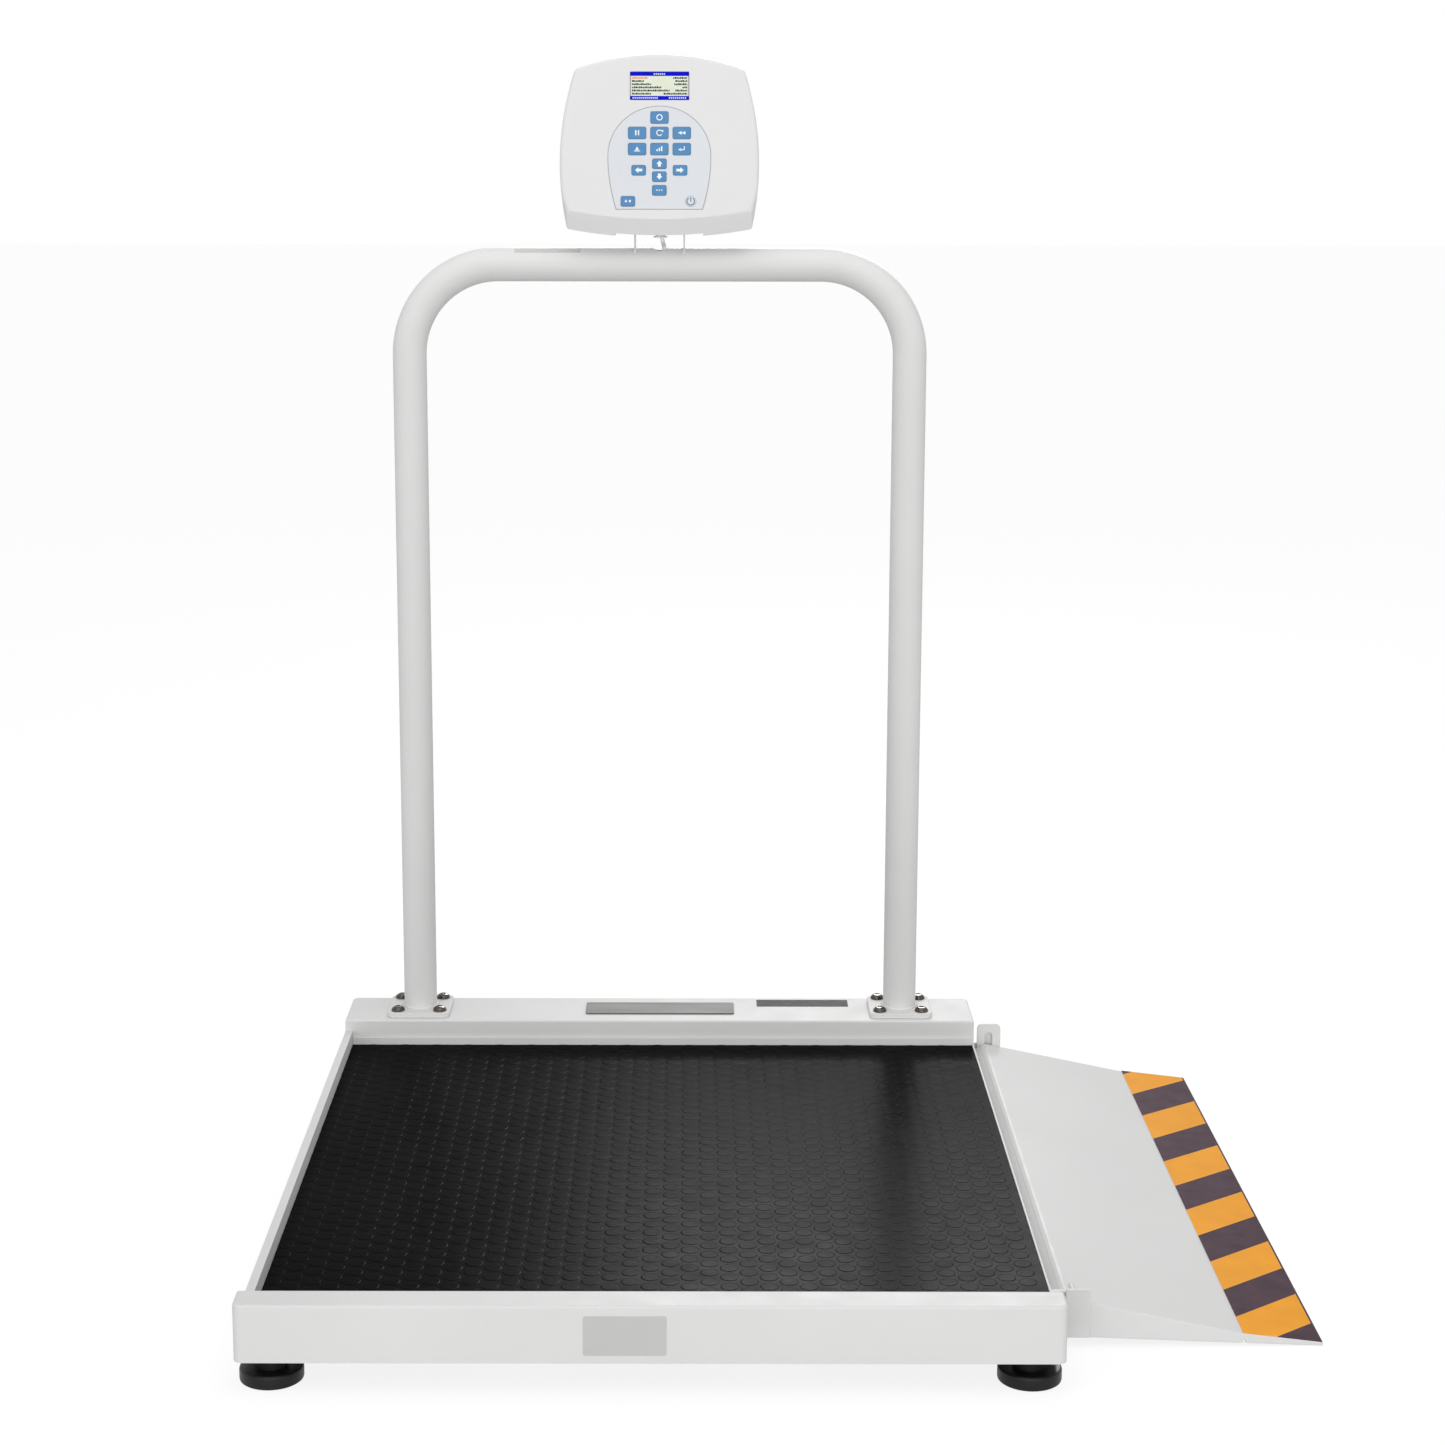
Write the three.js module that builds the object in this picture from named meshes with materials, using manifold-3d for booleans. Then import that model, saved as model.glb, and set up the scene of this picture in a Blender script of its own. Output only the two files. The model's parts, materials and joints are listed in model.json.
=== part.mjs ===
// Wheelchair scale with a handrail, a tilting display head and a loading ramp.
// Millimetres, +Z up. Places are measured from the floor under the middle of the front rail's
// front face: +X runs to the ramp, +Y runs back to the handrail. The last lines move the whole
// part so that its origin is the middle of its footprint.

import Module from 'manifold-3d';
import * as THREE from 'three';
import { mergeVertices } from 'three/addons/utils/BufferGeometryUtils.js';

const wasm = await Module();
wasm.setup();

// General
const seat = 0.3; // air between pieces that sit on each other
const overrun = 6; // how far a cutting body runs past what it cuts
const degree = Math.PI / 180;
const quarterTurn = 90 * degree;
const roundSteps = 20; // flats on a large round
const smallRoundSteps = 12; // flats on a screw or a cord
const cornerSteps = 3; // flats on a rounded corner
const keyCornerSteps = 2; // flats on a key's corner

// Platform
const platformWidth = 813;
const platformDepth = 981;
const railUnderside = 29;
const railSheet = 2.5;
const frontRailDepth = 38;
const frontRailTop = 89;
const frontCornerRadius = 9;
const rearBoxDepth = 96;
const rearBoxRise = 1; // of its top over the front rail's
const rearCornerRadius = 7;
const plainCornerRadius = 1.5;
const deckSheet = 3;
const matTop = 58.5;
const matThickness = 3;
const deckFlangeHeight = 9; // upturned back edge of the deck over the mat
const deckFlangeSheet = 2.5;

// Side rails
const sideSheet = 2.2;
const kerbWidth = 9.5;
const kerbTop = 75.5;
const lipOverMat = 0.8;
const shelfWidth = 54;
const returnWidth = 14;

// Deck ribs
const ribSpacing = 250;
const ribWidth = 50;
const ribSheet = 2.5;
const ribFootLift = 2;

// Feet and load cells
const footDiameter = 64;
const footHeight = 14.5;
const footEdge = 2;
const footInset = 30.5; // foot centre from the rail's end and from its face
const footNeckDiameter = 34;
const footStemDiameter = 12;
const stemClearance = 0.35;
const cellLength = 130;
const cellWidth = 30;
const cellEndPast = 16; // cell beyond the foot's centre line
const cellUnderside = 31;
const cellStep = 1.4;
const cellStepLength = 70;
const cellWindowLength = 44;
const cellWindowHeight = 8;
const cellNotchClearance = 2;

// Handrail
const tubeDiameter = 42.2;
const tubeWall = 2.6;
const postInset = 93.5; // post's centre from the platform's end
const barHeight = 1056; // centre line of the bar over the floor
const bendRadius = 112;
const bendSteps = 7;
const railCentreFromBack = 47;
const cableHoleDiameter = 24;
const cableHoleLean = 10 * degree;
const flangeSide = 85;
const flangeThickness = 6;
const flangeCornerRadius = 7;
const boltPattern = 54;
const boltDiameter = 10;
const boltHeadDiameter = 17.5;
const boltHeadHeight = 5.5;
const boltHeadRim = 1.2;
const boltDomeShare = 2 / 3; // of the head's height, where its dome is steepest
const boltSocketDiameter = 6;
const boltSocketDepth = 3.2;
const boltLength = 22;
const boltClearance = 0.4;

// Plate on the rear housing
const nameplateWidth = 193;
const nameplateDepth = 46;
const nameplateThickness = 1.6;
const nameplateCorner = 3;
const nameplateFromFront = 25;

// Junction box of the load cells
const junctionWidth = 110;
const junctionDepth = 60;
const junctionHeight = 26;
const junctionLeft = 90;
const junctionCorner = 4;

// Ramp
const rampFront = 106;
const rampFromBack = 70; // its back edge from the platform's back
const rampSheet = 3.5;
const rampGap = 8.5; // platform edge to the ramp's upper flange
const rampKneeRun = 185; // flange face to the fold where the toe begins
const rampToeRun = 85;
const rampKneeHeight = 14;
const rampToeHeight = 3.9;
const rampSlope = 11.8 * degree;
const rampBendRadius = 9;
const rampFlangeDrop = 24;
const rampBendSteps = 6;
const skirtLift = 10; // lower edge of the skirt at the platform end
const skirtSheet = 3;
const skirtNotchWidth = 2.4;
const skirtNotchDepth = 3.5;
const skirtNotchFromKnee = 3;
const tapeThickness = 0.5;
const tapeMargin = 0.8;

// Ramp ears, hooks and the fold's axis
const pivotFromRail = 22;
const pivotHeight = 58.5;
const pivotPinDiameter = 6;
const earSheet = 3;
const frontEarLeft = 14.5;
const frontEarRight = 39.5;
const frontEarTop = 62.2;
const frontEarCorner = 2;
const frontEarPinLength = 17;
const rearEarLeft = 7;
const rearEarRight = 37.5;
const rearEarTop = 77;
const rearEarUnderside = 20;
const rearEarCorner = 7;
const slotWidth = 9.5;
const slotTop = 66;
const slotDrop = 34;
const hookSheet = 6;
const hookBaseSheet = 2.4;
const hookBaseWidth = 24;
const hookBaseDrop = 22;
const hookArmUnder = 2.8; // steel under the pin in the open hook
const hookArmPast = 2.4;
const hookArmTop = 61;
const hookClearance = 0.35;
const frontHookSetback = 8; // arm behind the ramp's front edge
const rearPinGap = 1;
const rearHookPlateTop = 66;
const rearHookPlateRight = 30;

// Display head: local X right, Y back, Z up its face, from the tilt axis
const tiltAtRest = 15 * degree;
const tiltAxisLift = 64; // over the bar's centre line
const tiltAxisForward = 14; // ahead of the bar's centre line
const faceForward = 30;
const partForward = 13;
const backBehind = 20;
const headWall = 2.5;
const faceCentre = 74.8;
const headTop = 118.6;
const headTopCornerWidth = 105.5;
const headTopCorner = 100.5;
const headWidest = 122;
const headBottomCornerWidth = 113.5;
const headBottomCorner = -99.5;
const headBottom = -110.5;
const headFootLift = 3.1;
const headFootInner = 54;
const chinHeight = 20.5;
const chinRun = 12;
const crownSide = 20;
const crownTop = 14;
const crownBottom = 3.5;
const crownDepth = 3;
const edgeRound = 2.4;
const edgeShare = 1 / 3; // of the edge's round that is drawn in where the crown meets it
const backTaper = 18;
const backTaperTop = 52;
const backRise = 13;
const floorFlatTo = 13; // underside stays level back to here
const headSideSteps = 6;
const cornerShare = 0.045; // part of each side that its rounded corner takes
const cornerRoundSteps = 3;

// Bracket of the head
const bracketSheet = 2;
const bracketSpacing = 61;
const bracketEyeRadius = 9;
const bracketFrontAngle = 50 * degree;
const bracketBackAngle = 38 * degree;
const bracketSlotSide = 2;
const bracketSlotRound = 1.4;
const bracketArcSteps = 8;
const tiltPinDiameter = 8;
const tiltPinPast = 3.2;

// Window, keypad and keys on the face
const windowWidth = 73;
const windowHeight = 36;
const windowUp = 76.2; // centre over the face's centre
const windowClearance = 0.5;
const displayFrame = 4;
const displayRecess = 0.5;
const panelTopUp = 50.9;
const panelWidestUp = -11.4;
const panelBottomUp = -78;
const panelHalfWidest = 63.3;
const panelHalfBottom = 53.5;
const panelCorner = 4;
const panelThickness = 0.9;
const panelRecess = 1.1;
const panelRim = 2.2;
const panelArcSteps = 14;
const panelSideSteps = 4;
const keyProud = 0.7;
const powerKeyProud = 0.25;
const keyTravel = 0.8;
const keyClearance = 0.35;
const keySkirt = 0.8;
const keyCorner = 2.2;
const keyWidth = 21.9;
const keyHeight = 15;
const smallKeyWidth = 17.2;
const smallKeyHeight = 12.6;
const keyColumn = 27.4;
const arrowColumn = 25.4;
const outerColumn = 38.5;
const powerKeyDiameter = 13;
const zeroRowUp = 36.5;
const upperRowUp = 17.2;
const lowerRowUp = -2.9;
const arrowUpRow = -21.2;
const arrowSideRow = -29.3;
const arrowDownRow = -37.3;
const helpRow = -54.3;
const outerRow = -68;

// Inside and behind the head
const boardThickness = 1.6;
const boardWidth = 176;
const boardHeight = 158;
const boardSetback = 9.8; // board front behind the face
const doorWidth = 104;
const doorHeight = 52;
const doorUp = -4;
const doorCorner = 6;
const doorClearance = 0.4;
const packWidth = 96;
const packHeight = 44;
const packDepth = 15;
const glandDiameter = 17.5;
const glandDrop = 2.6;
const glandNeckDiameter = 12;
const glandBack = 4;
const glandNeck = 7.5; // neck above the head's underside

// Display cable
const cableDiameter = 5.2;
const cableSteps = 60;
const cableSides = 8;
const cableBendSteps = 4;
const cableLean = 5;
const cableTurn = 15;
const cableHoleShare = 0.6; // of the hole's radius, where the cable passes its front

// Colours of the pieces
const powderWhite = { color: 0xe2e2e0, roughness: 0.42, metalness: 0 };
const headWhite = { color: 0xececea, roughness: 0.4, metalness: 0 };
const panelBlue = { color: 0xdfe5e9, roughness: 0.45, metalness: 0 };
const keyBlue = { color: 0x568ec4, roughness: 0.5, metalness: 0 };
const matBlack = { color: 0x2b2b2c, roughness: 0.5, metalness: 0 };
const footBlack = { color: 0x20201f, roughness: 0.6, metalness: 0 };
const stainless = { color: 0xb9b9b6, roughness: 0.25, metalness: 1 };
const plateSilver = { color: 0x9a9a98, roughness: 0.4, metalness: 0.8 };
const cellAluminium = { color: 0xc4c6c8, roughness: 0.45, metalness: 0.9 };
const zincSteel = { color: 0xa8aaac, roughness: 0.45, metalness: 0.9 };
const displayGlass = { color: 0xdfe6c8, roughness: 0.2, metalness: 0 };
const boardGreen = { color: 0x1f5a3a, roughness: 0.6, metalness: 0 };
const greyPlastic = { color: 0x8d9094, roughness: 0.6, metalness: 0 };
const cableGrey = { color: 0xd6d6d4, roughness: 0.5, metalness: 0 };
const tapeOrange = { color: 0xf2a43a, roughness: 0.7, metalness: 0 };

// Derived places
const halfWidth = platformWidth / 2;
const halfSpacing = halfWidth - postInset;
const deckTop = matTop - matThickness - seat;
const deckUnderside = deckTop - deckSheet;
const deckFront = frontRailDepth + seat;
const rearBoxTop = frontRailTop + rearBoxRise;
const rearBoxFront = platformDepth - rearBoxDepth;
const deckBack = rearBoxFront - seat;
const shelfTop = deckUnderside - seat;
const shelfUnderside = shelfTop - sideSheet;
const cellTop = shelfUnderside - seat;
const footSide = halfWidth - footInset;
const railCentre = platformDepth - railCentreFromBack;
const flangeUnderside = rearBoxTop + seat;
const flangeTop = flangeUnderside + flangeThickness;
const postFoot = flangeTop + seat;
const tubeRadius = tubeDiameter / 2;
const tubeBore = tubeDiameter - 2 * tubeWall;
const boltHole = boltDiameter / 2 + boltClearance;
const rampBack = platformDepth - rampFromBack;
const rampFace = halfWidth + rampGap;
const rampKnee = rampFace + rampKneeRun;
const rampTip = rampKnee + rampToeRun;
const pivotX = halfWidth + pivotFromRail;
const pinRadius = pivotPinDiameter / 2;
const tiltAxisY = railCentre - tiltAxisForward;
const tiltAxisHeight = barHeight + tiltAxisLift;
const headFootBottom = faceCentre + headBottom;
const boardFront = boardSetback - faceForward;

// Shapes and solids
const unitX = new THREE.Vector3(1, 0, 0);
const unitY = new THREE.Vector3(0, 1, 0);
const unitZ = new THREE.Vector3(0, 0, 1);
const drawnInYZ = new THREE.Matrix4().makeBasis(unitY, unitZ, unitX);
const drawnInXZ = new THREE.Matrix4().makeBasis(unitX, unitZ, unitY.clone().negate());

function polygon(points) {
  return new THREE.Shape(points.map(([across, up]) => new THREE.Vector2(across, up)));
}

function extrude(shape, depth, curveSegments = cornerSteps) {
  return new THREE.ExtrudeGeometry(shape, { depth, bevelEnabled: false, curveSegments });
}

function extrudeX(shape, x0, x1) {
  return extrude(shape, x1 - x0).applyMatrix4(drawnInYZ).translate(x0, 0, 0);
}

function extrudeY(shape, y0, y1, curveSegments = cornerSteps) {
  return extrude(shape, y1 - y0, curveSegments).applyMatrix4(drawnInXZ).translate(0, y1, 0);
}

function extrudeZ(shape, z0, z1) {
  return extrude(shape, z1 - z0).translate(0, 0, z0);
}

function block(x0, x1, y0, y1, z0, z1) {
  const geometry = new THREE.BoxGeometry(x1 - x0, y1 - y0, z1 - z0);
  return geometry.translate((x0 + x1) / 2, (y0 + y1) / 2, (z0 + z1) / 2);
}

function rodX(radius, x0, x1, y, z, steps = roundSteps) {
  const geometry = new THREE.CylinderGeometry(radius, radius, x1 - x0, steps);
  return geometry.rotateZ(quarterTurn).translate((x0 + x1) / 2, y, z);
}

function rodY(radius, x, y0, y1, z, steps = roundSteps) {
  const geometry = new THREE.CylinderGeometry(radius, radius, y1 - y0, steps);
  return geometry.translate(x, (y0 + y1) / 2, z);
}

function rodZ(radius, x, y, z0, z1, steps = roundSteps) {
  const geometry = new THREE.CylinderGeometry(radius, radius, z1 - z0, steps);
  return geometry.rotateX(quarterTurn).translate(x, y, (z0 + z1) / 2);
}

// A turned piece: profile points are [radius, height], from the axis at the bottom to the axis at the top
function turned(profile, x, y, steps = roundSteps) {
  const points = profile.map(([radius, height]) => new THREE.Vector2(radius, height));
  return new THREE.LatheGeometry(points, steps).rotateX(quarterTurn).translate(x, y, 0);
}

function roundedRectangle(x0, x1, y0, y1, lowRadius, highRadius = lowRadius) {
  const shape = new THREE.Shape();
  shape.moveTo(x0 + lowRadius, y0);
  shape.lineTo(x1 - lowRadius, y0);
  shape.absarc(x1 - lowRadius, y0 + lowRadius, lowRadius, -quarterTurn, 0);
  shape.lineTo(x1, y1 - highRadius);
  shape.absarc(x1 - highRadius, y1 - highRadius, highRadius, 0, quarterTurn);
  shape.lineTo(x0 + highRadius, y1);
  shape.absarc(x0 + highRadius, y1 - highRadius, highRadius, quarterTurn, 2 * quarterTurn);
  shape.lineTo(x0, y0 + lowRadius);
  shape.absarc(x0 + lowRadius, y0 + lowRadius, lowRadius, 2 * quarterTurn, 3 * quarterTurn);
  return shape;
}

function circlePoints(x, y, radius, steps) {
  return Array.from({ length: steps }, (_, step) => {
    const angle = 4 * quarterTurn * step / steps;
    return new THREE.Vector2(x + radius * Math.cos(angle), y + radius * Math.sin(angle));
  });
}

function circlePath(x, y, radius, steps = roundSteps) {
  return new THREE.Path(circlePoints(x, y, radius, steps));
}

function toManifold(geometry) {
  const bare = geometry.clone();
  bare.deleteAttribute('normal');
  bare.deleteAttribute('uv');
  const merged = mergeVertices(bare);
  return new wasm.Manifold(new wasm.Mesh({
    numProp: 3,
    vertProperties: Float32Array.from(merged.attributes.position.array),
    triVerts: Uint32Array.from(merged.index.array),
  }));
}

function toGeometry(manifold) {
  const mesh = manifold.getMesh();
  const geometry = new THREE.BufferGeometry();
  geometry.setAttribute('position', new THREE.BufferAttribute(Float32Array.from(mesh.vertProperties), 3));
  geometry.setIndex(new THREE.BufferAttribute(Uint32Array.from(mesh.triVerts), 1));
  return geometry;
}

function cut(base, ...tools) {
  return toGeometry(tools.reduce((rest, tool) => rest.subtract(toManifold(tool)), toManifold(base)));
}

function join(base, ...others) {
  return toGeometry(others.reduce((whole, other) => whole.add(toManifold(other)), toManifold(base)));
}

function common(first, second) {
  return toGeometry(toManifold(first).intersect(toManifold(second)));
}

// A closed body through rings of equal count, with a flat cap on the first and the last
function loft(rings) {
  const count = rings[0].length;
  const caps = [rings[0], rings.at(-1)].map((ring) => ring
    .reduce((sum, point) => sum.add(point), new THREE.Vector3())
    .divideScalar(count));
  const points = [...rings.flat(), ...caps];
  const faces = [];
  for (let ring = 0; ring + 1 < rings.length; ring += 1) {
    for (let step = 0; step < count; step += 1) {
      const here = ring * count + step;
      const beside = ring * count + ((step + 1) % count);
      faces.push(here, here + count, beside, beside, here + count, beside + count);
    }
  }
  const lastRing = (rings.length - 1) * count;
  for (let step = 0; step < count; step += 1) {
    const beside = (step + 1) % count;
    faces.push(rings.length * count, step, beside);
    faces.push(rings.length * count + 1, lastRing + beside, lastRing + step);
  }
  const geometry = new THREE.BufferGeometry().setFromPoints(points);
  geometry.setIndex(faces);
  return geometry;
}

function addPiece(group, name, geometry, finish) {
  const piece = new THREE.Mesh(geometry, new THREE.MeshStandardMaterial(finish));
  piece.name = name;
  group.add(piece);
  return piece;
}

const platform = new THREE.Group();
const sides = [['left', -1], ['right', 1]];
const corners = [
  ['front_left', -footSide, footInset, 1],
  ['front_right', footSide, footInset, 1],
  ['rear_left', -footSide, platformDepth - footInset, -1],
  ['rear_right', footSide, platformDepth - footInset, -1],
];

// Front rail and rear housing: folded channels, open underneath, notched for the load cells
function channel(y0, y1, top, frontRadius, backRadius) {
  const outer = extrudeZ(roundedRectangle(-halfWidth, halfWidth, y0, y1, frontRadius, backRadius),
    railUnderside, top);
  const innerFront = Math.max(frontRadius - railSheet, plainCornerRadius);
  const innerBack = Math.max(backRadius - railSheet, plainCornerRadius);
  const inner = extrudeZ(
    roundedRectangle(-halfWidth + railSheet, halfWidth - railSheet, y0 + railSheet, y1 - railSheet,
      innerFront, innerBack),
    railUnderside - overrun, top - railSheet);
  return cut(outer, inner);
}

function cellNotch(x, wallMiddle) {
  const reach = cellWidth / 2 + cellNotchClearance;
  return block(x - reach, x + reach, wallMiddle - overrun, wallMiddle + overrun,
    railUnderside - overrun, cellTop + cellNotchClearance);
}

const frontRail = channel(0, frontRailDepth, frontRailTop, frontCornerRadius, plainCornerRadius);
addPiece(platform, 'front_rail', cut(frontRail,
  cellNotch(-footSide, frontRailDepth), cellNotch(footSide, frontRailDepth)), powderWhite);

function boltPlaces(side) {
  const reach = boltPattern / 2;
  const middle = side * halfSpacing;
  return [[-1, -1], [1, -1], [-1, 1], [1, 1]]
    .map(([across, back]) => [middle + across * reach, railCentre + back * reach]);
}

const rearBox = channel(rearBoxFront, platformDepth, rearBoxTop, plainCornerRadius, rearCornerRadius);
const rearBoxHoles = sides.flatMap(([, side]) => [
  rodZ(tubeBore / 2, side * halfSpacing, railCentre, rearBoxTop - overrun, rearBoxTop + overrun),
  ...boltPlaces(side).map(([x, y]) =>
    rodZ(boltHole, x, y, rearBoxTop - overrun, rearBoxTop + overrun, smallRoundSteps)),
]);
addPiece(platform, 'rear_box', cut(rearBox,
  cellNotch(-footSide, rearBoxFront), cellNotch(footSide, rearBoxFront), ...rearBoxHoles), powderWhite);

// Side rails: the left one stands over the mat as a kerb, the right one ends in a low lip
const shelfEnd = halfWidth - shelfWidth;
const wallInside = halfWidth - sideSheet;
const lipTop = matTop + lipOverMat;
const rightRail = polygon([
  [halfWidth - returnWidth, railUnderside], [halfWidth, railUnderside], [halfWidth, lipTop],
  [wallInside, lipTop], [wallInside, shelfTop], [shelfEnd, shelfTop], [shelfEnd, shelfUnderside],
  [wallInside, shelfUnderside], [wallInside, railUnderside + sideSheet],
  [halfWidth - returnWidth, railUnderside + sideSheet],
]);
const kerbInside = -halfWidth + kerbWidth;
const leftRail = polygon([
  [-halfWidth + returnWidth, railUnderside], [-halfWidth + returnWidth, railUnderside + sideSheet],
  [-wallInside, railUnderside + sideSheet], [-wallInside, kerbTop - sideSheet],
  [kerbInside - sideSheet, kerbTop - sideSheet], [kerbInside - sideSheet, shelfUnderside],
  [-shelfEnd, shelfUnderside], [-shelfEnd, shelfTop], [kerbInside, shelfTop], [kerbInside, kerbTop],
  [-halfWidth, kerbTop], [-halfWidth, railUnderside],
]);
const sideRailBack = rearBoxFront - seat;
addPiece(platform, 'side_rail_left', extrudeY(leftRail, deckFront, sideRailBack), powderWhite);
addPiece(platform, 'side_rail_right', extrudeY(rightRail, deckFront, sideRailBack), powderWhite);

// Deck with its upturned back edge, and the rubber mat on it
const deckLeft = kerbInside + seat;
const deckRight = wallInside - seat;
const flangeFace = deckBack - deckFlangeSheet;
const deckProfile = polygon([
  [deckFront, deckUnderside], [deckBack, deckUnderside], [deckBack, matTop + deckFlangeHeight],
  [flangeFace, matTop + deckFlangeHeight], [flangeFace, deckTop], [deckFront, deckTop],
]);
addPiece(platform, 'deck_plate', extrudeX(deckProfile, deckLeft, deckRight), powderWhite);
addPiece(platform, 'deck_mat',
  block(deckLeft, deckRight, deckFront, flangeFace - seat, deckTop + seat, matTop), matBlack);

// Frame under the deck: two hat ribs from rail to housing, tied by a third across the middle
const halfRib = ribWidth / 2;
const ribFoot = railUnderside + ribFootLift;

function ribProfile(middle) {
  return polygon([
    [middle - halfRib, ribFoot], [middle - halfRib + ribSheet, ribFoot],
    [middle - halfRib + ribSheet, shelfTop - ribSheet], [middle + halfRib - ribSheet, shelfTop - ribSheet],
    [middle + halfRib - ribSheet, ribFoot], [middle + halfRib, ribFoot],
    [middle + halfRib, shelfTop], [middle - halfRib, shelfTop],
  ]);
}

const ribMiddle = ribSpacing / 2;
addPiece(platform, 'deck_frame', join(
  extrudeY(ribProfile(-ribMiddle), deckFront, sideRailBack),
  extrudeY(ribProfile(ribMiddle), deckFront, sideRailBack),
  extrudeX(ribProfile((deckFront + sideRailBack) / 2), halfRib - ribMiddle - ribSheet / 2,
    ribMiddle - halfRib + ribSheet / 2)), zincSteel);

// Load cells: stepped beams with a sensing window, bored for the foot's stem
function loadCell(x, footY, inward) {
  const outerEnd = footY - inward * cellEndPast;
  const innerEnd = outerEnd + inward * cellLength;
  const stepEnd = outerEnd + inward * cellStepLength;
  const beam = polygon([
    [outerEnd, cellUnderside], [innerEnd, cellUnderside], [innerEnd, cellTop], [stepEnd, cellTop],
    [stepEnd, cellTop - cellStep], [outerEnd, cellTop - cellStep],
  ]);
  const windowMiddle = footY + inward * (cellEndPast + cellWindowLength / 2);
  const windowUpMiddle = (cellUnderside + cellTop - cellStep) / 2;
  const sensing = block(x - cellWidth, x + cellWidth,
    windowMiddle - cellWindowLength / 2, windowMiddle + cellWindowLength / 2,
    windowUpMiddle - cellWindowHeight / 2, windowUpMiddle + cellWindowHeight / 2);
  const bore = rodZ(footStemDiameter / 2 + stemClearance, x, footY,
    cellUnderside - overrun, cellTop + overrun, smallRoundSteps);
  return cut(extrudeX(beam, x - cellWidth / 2, x + cellWidth / 2), sensing, bore);
}

const footRadius = footDiameter / 2;
const neckTop = railUnderside - seat;
const stemTop = cellTop - cellStep;
const footProfile = [
  [0, 0], [footRadius - footEdge, 0], [footRadius, footEdge], [footRadius, footHeight - footEdge],
  [footRadius - footEdge, footHeight], [footNeckDiameter / 2, footHeight],
  [footNeckDiameter / 2, neckTop], [footStemDiameter / 2, neckTop], [footStemDiameter / 2, stemTop],
  [0, stemTop],
];
for (const [label, x, y, inward] of corners) {
  addPiece(platform, `load_cell_${label}`, loadCell(x, y, inward), cellAluminium);
  addPiece(platform, `foot_${label}`, turned(footProfile, x, y), footBlack);
}

// Junction box under the housing's top
addPiece(platform, 'junction_box', extrudeZ(
  roundedRectangle(junctionLeft, junctionLeft + junctionWidth,
    railCentre - junctionDepth / 2, railCentre + junctionDepth / 2, junctionCorner),
  rearBoxTop - railSheet - seat - junctionHeight, rearBoxTop - railSheet - seat), greyPlastic);

// Handrail: straight posts and bar with equal steps round the two bends
class StationCurve extends THREE.Curve {
  constructor(stations) {
    super();
    this.stations = stations;
  }

  getPoint(share) {
    const place = share * (this.stations.length - 1);
    const index = Math.min(Math.floor(place), this.stations.length - 2);
    return this.stations[index].clone().lerp(this.stations[index + 1], place - index);
  }

  getPointAt(share) {
    return this.getPoint(share);
  }

  getTangentAt(share) {
    return this.getTangent(share);
  }
}

function bendPoints(side, steps) {
  return Array.from({ length: steps + 1 }, (_, step) => {
    const turn = quarterTurn * step / steps;
    return new THREE.Vector3(
      side * (halfSpacing - bendRadius + bendRadius * Math.cos(turn)), railCentre,
      barHeight - bendRadius + bendRadius * Math.sin(turn));
  });
}

const railStations = [
  new THREE.Vector3(-halfSpacing, railCentre, postFoot), ...bendPoints(-1, bendSteps),
  ...bendPoints(1, bendSteps).reverse(), new THREE.Vector3(halfSpacing, railCentre, postFoot),
];
const tubeSection = new THREE.Shape(circlePoints(0, 0, tubeRadius, roundSteps));
tubeSection.holes.push(circlePath(0, 0, tubeBore / 2));
const railTube = new THREE.ExtrudeGeometry(tubeSection, {
  steps: railStations.length - 1, extrudePath: new StationCurve(railStations),
});
const holeRadius = cableHoleDiameter / 2;
const cableHole = new THREE.CylinderGeometry(holeRadius, holeRadius, tubeDiameter, roundSteps)
  .translate(0, tubeRadius, 0)
  .rotateX(quarterTurn + cableHoleLean)
  .translate(0, railCentre, barHeight);
addPiece(platform, 'handrail_tube', cut(railTube, cableHole), powderWhite);

// Flanges on the housing and their screws
const headRadius = boltHeadDiameter / 2;
const boltSeat = flangeTop + seat;
const boltProfile = [
  [0, boltSeat - boltLength], [boltDiameter / 2, boltSeat - boltLength], [boltDiameter / 2, boltSeat],
  [headRadius, boltSeat], [headRadius, boltSeat + boltHeadRim],
  [(headRadius + boltDiameter / 2) / 2, boltSeat + (boltHeadHeight + boltHeadRim) * boltDomeShare],
  [boltDiameter / 2, boltSeat + boltHeadHeight], [boltSocketDiameter / 2, boltSeat + boltHeadHeight],
  [boltSocketDiameter / 2, boltSeat + boltHeadHeight - boltSocketDepth],
  [0, boltSeat + boltHeadHeight - boltSocketDepth],
];
for (const [label, side] of sides) {
  const middle = side * halfSpacing;
  const square = roundedRectangle(middle - flangeSide / 2, middle + flangeSide / 2,
    railCentre - flangeSide / 2, railCentre + flangeSide / 2, flangeCornerRadius);
  square.holes.push(circlePath(middle, railCentre, tubeBore / 2));
  boltPlaces(side).forEach(([x, y]) => square.holes.push(circlePath(x, y, boltHole, smallRoundSteps)));
  addPiece(platform, `handrail_flange_${label}`, extrudeZ(square, flangeUnderside, flangeTop), powderWhite);
  boltPlaces(side).forEach(([x, y], index) => addPiece(platform, `flange_bolt_${label}_${index + 1}`,
    turned(boltProfile, x, y, smallRoundSteps), stainless));
}

addPiece(platform, 'nameplate', extrudeZ(
  roundedRectangle(-nameplateWidth / 2, nameplateWidth / 2, rearBoxFront + nameplateFromFront,
    rearBoxFront + nameplateFromFront + nameplateDepth, nameplateCorner),
  rearBoxTop + seat, rearBoxTop + seat + nameplateThickness), plateSilver);

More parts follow.
